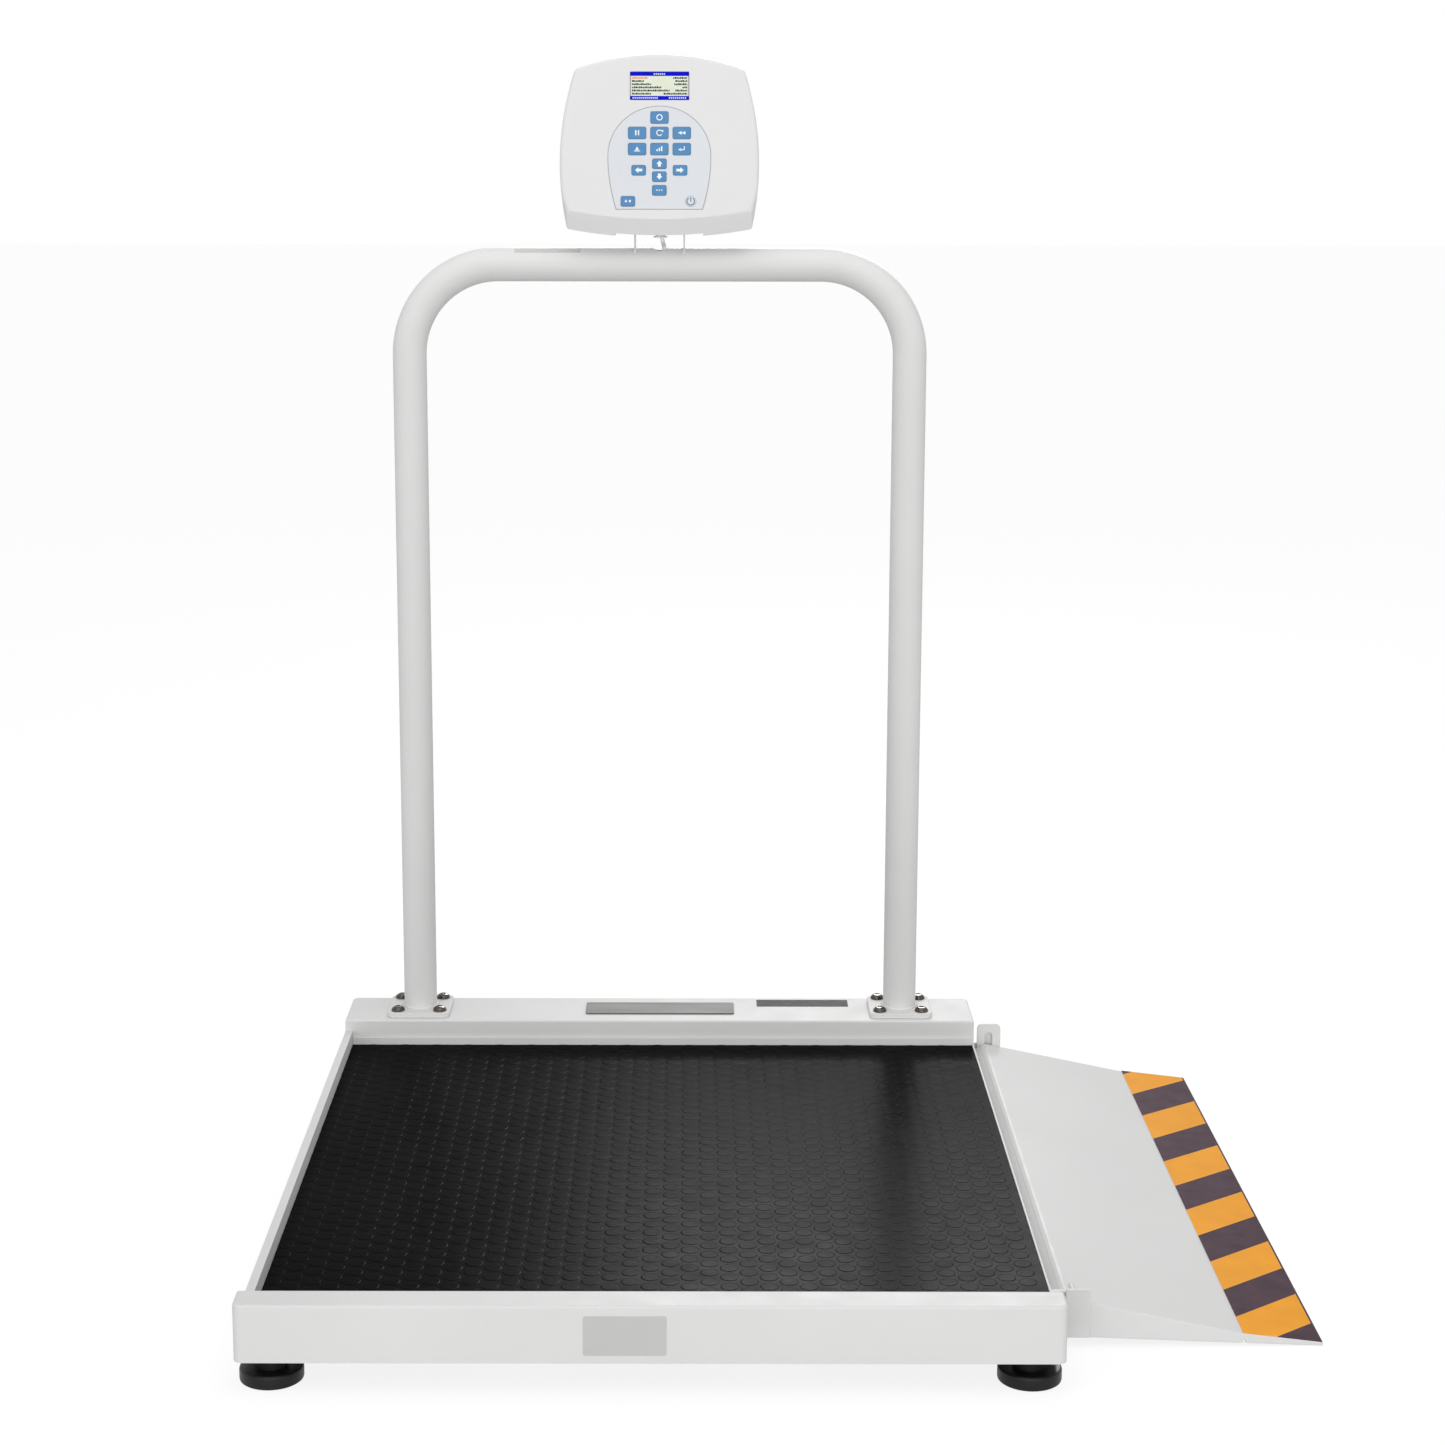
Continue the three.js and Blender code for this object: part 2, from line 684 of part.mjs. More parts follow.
// Ramp: one folded sheet with a skirt at each end
const kneeAngle = Math.atan2(rampKneeHeight - rampToeHeight, rampToeRun);
const foldCorner = rampKneeHeight + rampKneeRun * Math.tan(rampSlope);
const foldTurn = quarterTurn + rampSlope;
const foldCentreX = rampFace + rampBendRadius;
const foldCentreZ = foldCorner - rampBendRadius * Math.tan(foldTurn / 2);
const rampCrest = foldCentreZ + rampBendRadius;

function foldPoints(radius) {
  return Array.from({ length: rampBendSteps + 1 }, (_, step) => {
    const angle = 2 * quarterTurn - foldTurn * step / rampBendSteps;
    return [foldCentreX + radius * Math.cos(angle), foldCentreZ + radius * Math.sin(angle)];
  });
}

const sheetUnderKnee = rampSheet / Math.cos((rampSlope + kneeAngle) / 2);
const flangeFoot = rampCrest - rampFlangeDrop;
const rampTopLine = [
  [rampFace, flangeFoot], ...foldPoints(rampBendRadius),
  [rampKnee, rampKneeHeight], [rampTip, rampToeHeight],
];
const rampProfile = polygon([
  ...rampTopLine, [rampTip, 0], [rampTip - rampSheet, 0],
  [rampKnee, rampKneeHeight - sheetUnderKnee], ...foldPoints(rampBendRadius - rampSheet).reverse(),
  [rampFace + rampSheet, flangeFoot],
]);

function skirtUndersideAt(x) {
  return skirtLift * (rampTip - x) / (rampTip - rampFace);
}

const notchLeft = rampKnee + skirtNotchFromKnee;
const notchRight = notchLeft + skirtNotchWidth;
const skirtProfile = polygon([
  ...rampTopLine, [rampTip, 0],
  [notchRight, skirtUndersideAt(notchRight)], [notchRight, skirtUndersideAt(notchRight) + skirtNotchDepth],
  [notchLeft, skirtUndersideAt(notchLeft) + skirtNotchDepth], [notchLeft, skirtUndersideAt(notchLeft)],
  [rampFace, skirtLift],
]);
addPiece(platform, 'ramp_plate', join(
  extrudeY(rampProfile, rampFront, rampBack),
  extrudeY(skirtProfile, rampFront, rampFront + skirtSheet),
  extrudeY(skirtProfile, rampBack - skirtSheet, rampBack)), powderWhite);

const tapeLift = seat / Math.cos(kneeAngle);
const tapeTop = tapeLift + tapeThickness / Math.cos(kneeAngle);
const toeHeightAt = (x) => rampToeHeight + (rampTip - x) * Math.tan(kneeAngle);
const tapeLeft = rampKnee + tapeMargin;
const tapeRight = rampTip - tapeMargin;
addPiece(platform, 'hazard_tape', extrudeY(polygon([
  [tapeLeft, toeHeightAt(tapeLeft) + tapeLift], [tapeRight, toeHeightAt(tapeRight) + tapeLift],
  [tapeRight, toeHeightAt(tapeRight) + tapeTop], [tapeLeft, toeHeightAt(tapeLeft) + tapeTop],
]), rampFront, rampBack), tapeOrange);

// Ears of the ramp: the front one carries a pin, the rear one is slotted
const frontEarBack = rampFront - seat;
const frontEar = extrudeY(roundedRectangle(halfWidth + frontEarLeft, halfWidth + frontEarRight,
  skirtLift, frontEarTop, plainCornerRadius, frontEarCorner), frontEarBack - earSheet, frontEarBack);
const frontPin = rodY(pinRadius, pivotX, frontEarBack - earSheet / 2, frontEarBack + frontEarPinLength,
  pivotHeight, smallRoundSteps);
addPiece(platform, 'ramp_ear_front', join(frontEar, frontPin), powderWhite);

const rearEarFront = rampBack + seat;
const rearEarBack = rearEarFront + earSheet;
const rearEar = extrudeY(roundedRectangle(halfWidth + rearEarLeft, halfWidth + rearEarRight,
  rearEarUnderside, rearEarTop, plainCornerRadius, rearEarCorner), rearEarFront, rearEarBack);
const slotRadius = slotWidth / 2;
const slot = roundedRectangle(pivotX - slotRadius, pivotX + slotRadius, slotTop - slotDrop, slotTop,
  plainCornerRadius, slotRadius);
addPiece(platform, 'ramp_ear_rear',
  cut(rearEar, extrudeY(slot, rearEarFront - overrun, rearEarBack + overrun)), powderWhite);

// Hooks on the platform: an open saddle under the front pin, a pin through the rear slot
const hookBaseFace = halfWidth + seat;
const hookMiddle = rampFront + frontHookSetback;
const armUnderside = pivotHeight - pinRadius - hookClearance - hookArmUnder;
const hookBase = block(hookBaseFace, hookBaseFace + hookBaseSheet, hookMiddle, hookMiddle + hookBaseWidth,
  armUnderside - hookBaseDrop, hookArmTop);
const hookArm = block(hookBaseFace, pivotX + pinRadius + hookArmPast, hookMiddle, hookMiddle + hookSheet,
  armUnderside, hookArmTop);
const saddleRadius = pinRadius + hookClearance;
const saddle = roundedRectangle(pivotX - saddleRadius, pivotX + saddleRadius, pivotHeight - saddleRadius,
  hookArmTop + overrun, saddleRadius, plainCornerRadius);
addPiece(platform, 'ramp_hook_front', cut(join(hookBase, hookArm),
  extrudeY(saddle, hookMiddle - overrun, hookMiddle + hookSheet + overrun)), powderWhite);

const rearHookFront = rearEarBack + rearPinGap;
const rearHookBase = block(hookBaseFace, hookBaseFace + hookBaseSheet, rearHookFront,
  rearHookFront + hookBaseWidth, armUnderside - hookBaseDrop, rearHookPlateTop);
const rearHookArm = block(hookBaseFace, halfWidth + rearHookPlateRight, rearHookFront,
  rearHookFront + hookSheet, armUnderside, rearHookPlateTop);
const rearPin = rodY(pinRadius, pivotX, rampBack - skirtSheet, rearHookFront + hookSheet / 2, pivotHeight,
  smallRoundSteps);
addPiece(platform, 'ramp_hook_rear', join(rearHookBase, rearHookArm, rearPin), powderWhite);

// Bracket of the head: two thin plates saddled on the bar
const saddleOnBar = tubeRadius + seat;

function bracketOutline() {
  const points = [];
  for (let step = 0; step <= bracketArcSteps; step += 1) {
    const angle = -bracketBackAngle + (bracketBackAngle + bracketFrontAngle) * step / bracketArcSteps;
    points.push([railCentre - saddleOnBar * Math.sin(angle), barHeight + saddleOnBar * Math.cos(angle)]);
  }
  for (let step = 0; step <= bracketArcSteps; step += 1) {
    const angle = 2 * quarterTurn - 2 * quarterTurn * step / bracketArcSteps;
    points.push([
      tiltAxisY + bracketEyeRadius * Math.cos(angle), tiltAxisHeight + bracketEyeRadius * Math.sin(angle)]);
  }
  return polygon(points);
}

const pinHoleRadius = tiltPinDiameter / 2 + hookClearance;
for (const [label, side] of sides) {
  const outline = bracketOutline();
  outline.holes.push(circlePath(tiltAxisY, tiltAxisHeight, pinHoleRadius, smallRoundSteps));
  const middle = side * bracketSpacing / 2;
  addPiece(platform, `head_bracket_${label}`,
    extrudeX(outline, middle - bracketSheet / 2, middle + bracketSheet / 2), powderWhite);
}

// Display head, built about its tilt axis and leaned back
const head = new THREE.Group();
head.position.set(0, tiltAxisY, tiltAxisHeight);
head.rotation.x = -tiltAtRest;
platform.add(head);

function bulge(from, to, middleAcross, middleUp) {
  const bend = new THREE.Vector2(
    2 * middleAcross - (from.x + to.x) / 2, 2 * middleUp - (from.y + to.y) / 2);
  return new THREE.QuadraticBezierCurve(from, bend, to);
}

// The head's outline round its face centre: four bowed sides with rounded corners
function headOutline() {
  const topLeft = new THREE.Vector2(-headTopCornerWidth, headTopCorner);
  const topRight = new THREE.Vector2(headTopCornerWidth, headTopCorner);
  const lowRight = new THREE.Vector2(headBottomCornerWidth, headBottomCorner);
  const lowLeft = new THREE.Vector2(-headBottomCornerWidth, headBottomCorner);
  const sideMiddle = (headTopCorner + headBottomCorner) / 2;
  const bowed = [
    bulge(lowLeft, lowRight, 0, headBottom), bulge(lowRight, topRight, headWidest, sideMiddle),
    bulge(topRight, topLeft, 0, headTop), bulge(topLeft, lowLeft, -headWidest, sideMiddle),
  ];
  const cornerPoints = [lowRight, topRight, topLeft, lowLeft];
  return bowed.flatMap((side, index) => {
    const along = Array.from({ length: headSideSteps + 1 }, (_, step) =>
      side.getPoint(cornerShare + (1 - 2 * cornerShare) * step / headSideSteps));
    const next = bowed[(index + 1) % bowed.length].getPoint(cornerShare);
    const corner = new THREE.QuadraticBezierCurve(along.at(-1), cornerPoints[index], next);
    const round = Array.from({ length: cornerRoundSteps - 1 }, (_, step) =>
      corner.getPoint((step + 1) / cornerRoundSteps));
    return [...along, ...round];
  });
}

// One ring of the head at depth y, drawn in at its sides, top and bottom, with its bottom lifted
function headRing(y, inSide, inTop, inBottom, lift) {
  return headOutline().map((point) => {
    const inUp = point.y > 0 ? inTop / headTop : -inBottom / headBottom;
    const bottomShare = THREE.MathUtils.smoothstep(-point.y, -headBottomCorner / 2, -headBottomCorner);
    return new THREE.Vector3(point.x * (1 - inSide / headWidest), y,
      faceCentre + point.y * (1 - inUp) + lift * bottomShare);
  });
}

function frontBody(wall) {
  const floor = wall > 0 ? wall + headFootLift : 0;
  const face = -faceForward + wall;
  const drawnIn = edgeRound * edgeShare;
  return loft([
    headRing(face, crownSide + wall, crownTop + wall, crownBottom + floor, chinHeight),
    headRing(face + crownDepth / 2, edgeRound + wall, edgeRound + wall,
      floor + crownBottom * edgeShare, chinHeight),
    headRing(face + crownDepth, drawnIn + wall, drawnIn + wall, floor, chinHeight - edgeRound),
    headRing(face + crownDepth + edgeRound, wall, wall, floor, chinHeight - 2 * edgeRound),
    headRing(-faceForward + chinRun, wall, wall, floor, 0),
    headRing(-partForward + (wall > 0 ? overrun : 0), wall, wall, floor, 0),
  ]);
}

function backBody(wall) {
  const floor = wall > 0 ? wall + headFootLift : 0;
  const front = seat - partForward - (wall > 0 ? overrun : 0);
  return loft([
    headRing(front, wall, wall, floor, 0),
    headRing(0, wall, wall + edgeRound, floor, 0),
    headRing(floorFlatTo - wall / 2, wall + backTaper / 2, wall + backTaperTop / 2, floor, 0),
    headRing(backBehind - wall, wall + backTaper, wall + backTaperTop, floor, backRise),
  ]);
}

const footRecess = new THREE.Shape();
const recessEnd = headFootBottom + headFootLift + (headBottomCorner - headBottom)
  * (headFootInner / headBottomCornerWidth) ** 2;
footRecess.moveTo(-headFootInner, headFootBottom - overrun);
footRecess.lineTo(headFootInner, headFootBottom - overrun);
footRecess.lineTo(headFootInner, recessEnd);
footRecess.quadraticCurveTo(0, 2 * (headFootBottom + headFootLift) - recessEnd, -headFootInner, recessEnd);
const recessTool = extrudeY(footRecess, -faceForward - overrun, backBehind + overrun);

// Keypad arch: a round top that runs into sides curving in towards the bottom
function archOutline(grow) {
  const halfWidest = panelHalfWidest + grow;
  const halfBottom = panelHalfBottom + grow;
  const top = panelTopUp + grow;
  const bottom = panelBottomUp - grow;
  const arch = Array.from({ length: panelArcSteps + 1 }, (_, step) => {
    const angle = 2 * quarterTurn * step / panelArcSteps;
    return [halfWidest * Math.cos(angle), panelWidestUp + (top - panelWidestUp) * Math.sin(angle)];
  });
  const sideFoot = bottom + panelCorner;
  const side = Array.from({ length: panelSideSteps }, (_, step) => {
    const share = (step + 1) / panelSideSteps;
    return [halfBottom + (halfWidest - halfBottom) * (1 - share ** 2),
      panelWidestUp + (sideFoot - panelWidestUp) * share];
  });
  const points = [
    ...arch, ...side.map(([across, up]) => [-across, up]),
    [-halfBottom + panelCorner, bottom], [halfBottom - panelCorner, bottom], ...side.reverse(),
  ];
  return polygon(points.map(([across, up]) => [across, faceCentre + up]));
}

const keys = [
  ['key_zero', 0, zeroRowUp, keyWidth, keyHeight],
  ['key_hold', -keyColumn, upperRowUp, keyWidth, keyHeight],
  ['key_reweigh', 0, upperRowUp, keyWidth, keyHeight],
  ['key_recall', keyColumn, upperRowUp, keyWidth, keyHeight],
  ['key_tare', -keyColumn, lowerRowUp, keyWidth, keyHeight],
  ['key_index', 0, lowerRowUp, keyWidth, keyHeight],
  ['key_enter', keyColumn, lowerRowUp, keyWidth, keyHeight],
  ['key_up', 0, arrowUpRow, smallKeyWidth, smallKeyHeight],
  ['key_left', -arrowColumn, arrowSideRow, smallKeyWidth, smallKeyHeight],
  ['key_right', arrowColumn, arrowSideRow, smallKeyWidth, smallKeyHeight],
  ['key_down', 0, arrowDownRow, smallKeyWidth, smallKeyHeight],
  ['key_help', 0, helpRow, smallKeyWidth, smallKeyHeight],
  ['key_unit', -outerColumn, outerRow, smallKeyWidth, smallKeyHeight],
];

function keyOutline(across, up, width, height, grow, corner) {
  return roundedRectangle(across - width / 2 - grow, across + width / 2 + grow,
    faceCentre + up - height / 2 - grow, faceCentre + up + height / 2 + grow, corner);
}

const panelFloor = panelRecess - faceForward;
const panelBack = panelFloor - seat;
const panelFront = panelBack - panelThickness;
const panelShape = archOutline(0);
for (const [, across, up, width, height] of keys) {
  panelShape.holes.push(new THREE.Path(
    keyOutline(across, up, width, height, keyClearance, keyCorner).getPoints(keyCornerSteps)));
}
const powerRadius = powerKeyDiameter / 2;
panelShape.holes.push(circlePath(outerColumn, faceCentre + outerRow, powerRadius + keyClearance));
addPiece(head, 'keypad_panel', extrudeY(panelShape, panelFront, panelBack), panelBlue);

// Front cover with the window, the panel's recess and the opening behind the keys
const windowMiddle = faceCentre + windowUp;
const windowHole = block(-windowWidth / 2, windowWidth / 2, -faceForward - overrun, -faceForward + overrun,
  windowMiddle - windowHeight / 2, windowMiddle + windowHeight / 2);
const panelHole = extrudeY(archOutline(seat), -faceForward - overrun, panelFloor);
const keyOpening = extrudeY(archOutline(-panelRim), -faceForward - overrun, -faceForward + overrun);
addPiece(head, 'head_front_cover',
  cut(frontBody(0), frontBody(headWall), recessTool, windowHole, panelHole, keyOpening), headWhite);

// Keys: a cap through the panel and a wider skirt behind it, held off the board by their travel
const skirtFront = panelBack + seat;
const keyBack = boardFront - keyTravel - keyClearance;
for (const [name, across, up, width, height] of keys) {
  const cap = extrudeY(keyOutline(across, up, width, height, 0, keyCorner),
    panelFront - keyProud, keyBack, keyCornerSteps);
  const skirt = extrudeY(keyOutline(across, up, width, height, keySkirt, keyCorner),
    skirtFront, keyBack, keyCornerSteps);
  addPiece(head, name, join(cap, skirt), keyBlue);
}
const powerUp = faceCentre + outerRow;
addPiece(head, 'key_power', join(
  rodY(powerRadius, outerColumn, panelFront - powerKeyProud, keyBack, powerUp),
  rodY(powerRadius + keySkirt, outerColumn, skirtFront, keyBack, powerUp)), panelBlue);

// Display module behind its window, and the board that carries it and the key switches
const displayBack = boardFront - seat;
const displayShoulder = -faceForward + headWall + seat;
addPiece(head, 'lcd_module', join(
  block(-windowWidth / 2 - displayFrame, windowWidth / 2 + displayFrame, displayShoulder, displayBack,
    windowMiddle - windowHeight / 2 - displayFrame, windowMiddle + windowHeight / 2 + displayFrame),
  block(-windowWidth / 2 + windowClearance, windowWidth / 2 - windowClearance,
    -faceForward + displayRecess, displayBack,
    windowMiddle - windowHeight / 2 + windowClearance, windowMiddle + windowHeight / 2 - windowClearance)),
displayGlass);

const boardUp = faceCentre + (windowUp + windowHeight / 2 + displayFrame) - boardHeight / 2;
const boardBack = boardFront + boardThickness;
addPiece(head, 'circuit_board', block(-boardWidth / 2, boardWidth / 2, boardFront, boardBack,
  boardUp - boardHeight / 2, boardUp + boardHeight / 2), boardGreen);

// Back cover: slots for the bracket plates, bores for the pin and the cable gland, the door's opening
const slotHalf = bracketSheet / 2 + bracketSlotSide;
const slotReach = bracketEyeRadius + bracketSlotRound;
const glandRadius = glandNeckDiameter / 2;
const doorMiddle = faceCentre + doorUp;
const bosses = sides.map(([, side]) => {
  const middle = side * bracketSpacing / 2;
  return common(backBody(0), block(middle - slotHalf - headWall, middle + slotHalf + headWall,
    seat - partForward, backBehind, headFootBottom, slotReach + headWall));
});
const slots = sides.map(([, side]) => {
  const middle = side * bracketSpacing / 2;
  return block(middle - slotHalf, middle + slotHalf, -slotReach, backBehind + overrun,
    headFootBottom - overrun, slotReach);
});
const pinHalfLength = bracketSpacing / 2 + slotHalf + tiltPinPast;
const pinBore = rodX(pinHoleRadius, -pinHalfLength - overrun, pinHalfLength + overrun, 0, 0,
  smallRoundSteps);
const glandSeat = headFootBottom + headFootLift;
const glandBore = rodZ(glandRadius + hookClearance, 0, glandBack, headFootBottom - overrun,
  glandSeat + glandNeck, smallRoundSteps);
const doorOpening = extrudeY(roundedRectangle(-doorWidth / 2 - doorClearance, doorWidth / 2 + doorClearance,
  doorMiddle - doorHeight / 2 - doorClearance, doorMiddle + doorHeight / 2 + doorClearance, doorCorner),
backBehind - 2 * headWall, backBehind + overrun);
const backShell = cut(backBody(0), backBody(headWall));
addPiece(head, 'head_back_cover',
  cut(join(backShell, ...bosses), recessTool, ...slots, pinBore, glandBore, doorOpening), headWhite);
addPiece(head, 'tilt_pin', rodX(tiltPinDiameter / 2, -pinHalfLength, pinHalfLength, 0, 0, smallRoundSteps),
  stainless);

addPiece(head, 'battery_door', extrudeY(roundedRectangle(-doorWidth / 2, doorWidth / 2,
  doorMiddle - doorHeight / 2, doorMiddle + doorHeight / 2, doorCorner), backBehind - headWall, backBehind),
headWhite);
const packBack = backBehind - headWall - seat;
addPiece(head, 'battery_pack', block(-packWidth / 2, packWidth / 2, packBack - packDepth, packBack,
  doorMiddle - packHeight / 2, doorMiddle + packHeight / 2), greyPlastic);

addPiece(head, 'cable_gland', turned([
  [0, glandSeat - glandDrop], [glandDiameter / 2, glandSeat - glandDrop],
  [glandDiameter / 2, glandSeat - seat], [glandRadius, glandSeat - seat],
  [glandRadius, glandSeat + glandNeck], [0, glandSeat + glandNeck],
], 0, glandBack), greyPlastic);

// Display cable: down from the gland, into the bar, along it and down the right post to the junction box
const glandMouth = new THREE.Vector3(0, glandBack, glandSeat - glandDrop - seat);
const straightOut = glandMouth.clone().setZ(glandMouth.z - cableDiameter);
[glandMouth, straightOut].forEach((point) => point.applyEuler(head.rotation).add(head.position));
const holeAngle = cableHoleLean + Math.asin(cableHoleShare * cableHoleDiameter / tubeDiameter);
const inBar = barHeight - cableDiameter;
const cableRise = rearBoxTop - railSheet - junctionHeight / 2;
const cableRoute = new THREE.CatmullRomCurve3([
  glandMouth,
  straightOut,
  new THREE.Vector3(cableLean, railCentre - tubeRadius * Math.sin(holeAngle),
    barHeight + tubeRadius * Math.cos(holeAngle)),
  new THREE.Vector3(2 * cableLean, railCentre - cableLean, barHeight + cableLean),
  new THREE.Vector3(2 * cableLean + cableTurn, railCentre, inBar),
  new THREE.Vector3((halfSpacing - bendRadius) / 2, railCentre, inBar),
  ...bendPoints(1, cableBendSteps).reverse(),
  new THREE.Vector3(halfSpacing, railCentre, barHeight / 2),
  new THREE.Vector3(halfSpacing, railCentre, rearBoxTop + cableTurn),
  new THREE.Vector3(halfSpacing, railCentre, cableRise + cableTurn),
  new THREE.Vector3(halfSpacing - cableTurn, railCentre, cableRise),
  new THREE.Vector3(junctionLeft + junctionWidth + 2 * cableTurn, railCentre, cableRise),
  new THREE.Vector3(junctionLeft + junctionWidth + seat, railCentre, cableRise),
]);
const cableSection = new THREE.Shape(circlePoints(0, 0, cableDiameter / 2, cableSides));
addPiece(platform, 'display_cable', new THREE.ExtrudeGeometry(cableSection, {
  steps: cableSteps, extrudePath: cableRoute,
}), cableGrey);

// The part's origin: the middle of its footprint on the floor
const part = new THREE.Group();
const farLeft = Math.max(halfWidth, footSide + footRadius);
platform.position.set((farLeft - rampTip) / 2, -platformDepth / 2, 0);
part.add(platform);

export default part;
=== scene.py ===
"""Wheelchair scale: the looks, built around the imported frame. Shapes are drawn in millimetres."""

import json
import math

import bmesh
import bpy
from mathutils import Matrix, Vector
from mathutils.geometry import tessellate_polygon


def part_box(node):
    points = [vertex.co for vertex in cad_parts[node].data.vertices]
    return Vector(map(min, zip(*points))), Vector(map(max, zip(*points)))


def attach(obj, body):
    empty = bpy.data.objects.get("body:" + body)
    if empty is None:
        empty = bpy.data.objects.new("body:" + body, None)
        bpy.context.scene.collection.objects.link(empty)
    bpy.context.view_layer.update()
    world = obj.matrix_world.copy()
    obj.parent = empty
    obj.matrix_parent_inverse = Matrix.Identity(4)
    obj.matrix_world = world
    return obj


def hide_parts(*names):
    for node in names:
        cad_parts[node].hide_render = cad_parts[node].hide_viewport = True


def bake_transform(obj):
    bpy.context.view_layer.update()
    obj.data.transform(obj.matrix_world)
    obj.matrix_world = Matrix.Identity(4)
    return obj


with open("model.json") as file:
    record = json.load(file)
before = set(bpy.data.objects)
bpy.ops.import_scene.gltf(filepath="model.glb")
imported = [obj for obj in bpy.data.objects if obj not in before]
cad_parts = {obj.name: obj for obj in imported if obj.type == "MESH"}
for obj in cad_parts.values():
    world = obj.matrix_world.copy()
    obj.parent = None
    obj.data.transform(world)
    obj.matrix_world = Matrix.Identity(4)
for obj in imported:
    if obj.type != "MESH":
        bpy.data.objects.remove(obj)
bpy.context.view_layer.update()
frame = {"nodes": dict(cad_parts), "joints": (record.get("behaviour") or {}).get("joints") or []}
bpy.context.scene.view_settings.view_transform = "Standard"

MM = 0.001
NODES = frame["nodes"]
JOINTS = {joint["name"]: joint for joint in frame["joints"]}
rail_low, rail_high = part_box("front_rail")
# Places on the platform are measured from the floor under the middle of the front rail's face,
# and places on the head from its tilt axis, with its face square to Y.
PLATFORM = (Matrix.Translation(((rail_low.x + rail_high.x) / 2, rail_low.y, 0))
            @ Matrix.Scale(MM, 4))
TILT_AT_REST = math.radians(15)
HEAD = (Matrix.Translation(JOINTS["head_tilt"]["pos_m"])
        @ Matrix.Rotation(-TILT_AT_REST, 4, "X") @ Matrix.Scale(MM, 4))
FACING = Matrix.Rotation(math.radians(90), 4, "X")  # (across, up, out) drawn on a face towards -Y
BEHIND = Matrix.Rotation(math.radians(180), 4, "Z") @ FACING  # the same on a face towards +Y


# Outlines
def rounded(x0, x1, y0, y1, low, high=None, steps=6):
    """A rectangle with rounded corners, as a function of how far it is drawn in."""
    high = low if high is None else high

    def outline(inset=0.0):
        points = []
        for x, y, radius, turn in ((x1, y0, low, -90), (x1, y1, high, 0),
                                   (x0, y1, high, 90), (x0, y0, low, 180)):
            left = max(radius - inset, 0.05)
            cx = x + (-1 if x == x1 else 1) * (left + inset)
            cy = y + (-1 if y == y1 else 1) * (left + inset)
            for step in range(steps + 1):
                angle = math.radians(turn + 90 * step / steps)
                points.append((cx + left * math.cos(angle), cy + left * math.sin(angle)))
        return points
    return outline


def disc(x, y, radius, steps=32):
    def outline(inset=0.0):
        return [(x + (radius - inset) * math.cos(math.tau * k / steps),
                 y + (radius - inset) * math.sin(math.tau * k / steps)) for k in range(steps)]
    return outline


# Meshes
def lofted(rings, loop=False):
    """A closed mesh through rings of equal count, capped at both ends or closed into a loop."""
    mesh = bmesh.new()
    rows = [[mesh.verts.new(point) for point in ring] for ring in rings]
    count = len(rows[0])
    for low, high in zip(rows, rows[1:] + (rows[:1] if loop else [])):
        for k in range(count):
            beside = (k + 1) % count
            mesh.faces.new((low[k], low[beside], high[beside], high[k]))
    if not loop:
        mesh.faces.new(rows[0][::-1])
        mesh.faces.new(rows[-1])
    bmesh.ops.recalc_face_normals(mesh, faces=mesh.faces)
    return mesh


def slab(outline, low, high, top=0.0, bottom=0.0, steps=4):
    """An outline raised from low to high, with its edges rounded."""
    rings = []
    turns = [math.pi / 2 * k / steps for k in range(steps + 1)]
    if bottom:
        rings += [(bottom * (1 - math.sin(a)), low + bottom * (1 - math.cos(a))) for a in turns]
    else:
        rings.append((0, low))
    if top:
        rings += [(top * (1 - math.cos(a)), high - top * (1 - math.sin(a))) for a in turns]
    else:
        rings.append((0, high))
    return lofted([[(x, y, z) for x, y in outline(inset)] for inset, z in rings])


def plain_box(x0, x1, y0, y1, z0, z1):
    """A cutting body."""
    return lofted([[(x0, y0, z), (x1, y0, z), (x1, y1, z), (x0, y1, z)] for z in (z0, z1)])


def prism(outer, low, high, holes=()):
    """A flat plate of any outline, with holes."""
    mesh = bmesh.new()
    loops = [[Vector((x, y, 0)) for x, y in loop] for loop in (outer, *holes)]
    flat = [point for loop in loops for point in loop]
    rows = [[mesh.verts.new((p.x, p.y, z)) for p in flat] for z in (low, high)]
    for triangle in tessellate_polygon(loops):
        for row in rows:
            mesh.faces.new([row[k] for k in triangle])
    start = 0
    for loop in loops:
        for k in range(len(loop)):
            a, b = start + k, start + (k + 1) % len(loop)
            mesh.faces.new((rows[0][a], rows[0][b], rows[1][b], rows[1][a]))
        start += len(loop)
    bmesh.ops.recalc_face_normals(mesh, faces=mesh.faces)
    bmesh.ops.dissolve_limit(mesh, angle_limit=math.radians(0.5), verts=mesh.verts,
                             edges=mesh.edges)
    return mesh


def along_y(outline, front, back):
    """An outline of (across, up) points drawn out from front to back."""
    mesh = prism(outline, -back, -front)
    mesh.transform(FACING)
    return mesh


def turned(profile, steps=40, x=0.0, y=0.0):
    """A lathed piece: profile points are (radius, height)."""
    return lofted([[(x + radius * math.cos(math.tau * k / steps),
                     y + radius * math.sin(math.tau * k / steps), height)
                    for k in range(steps)] for radius, height in profile])


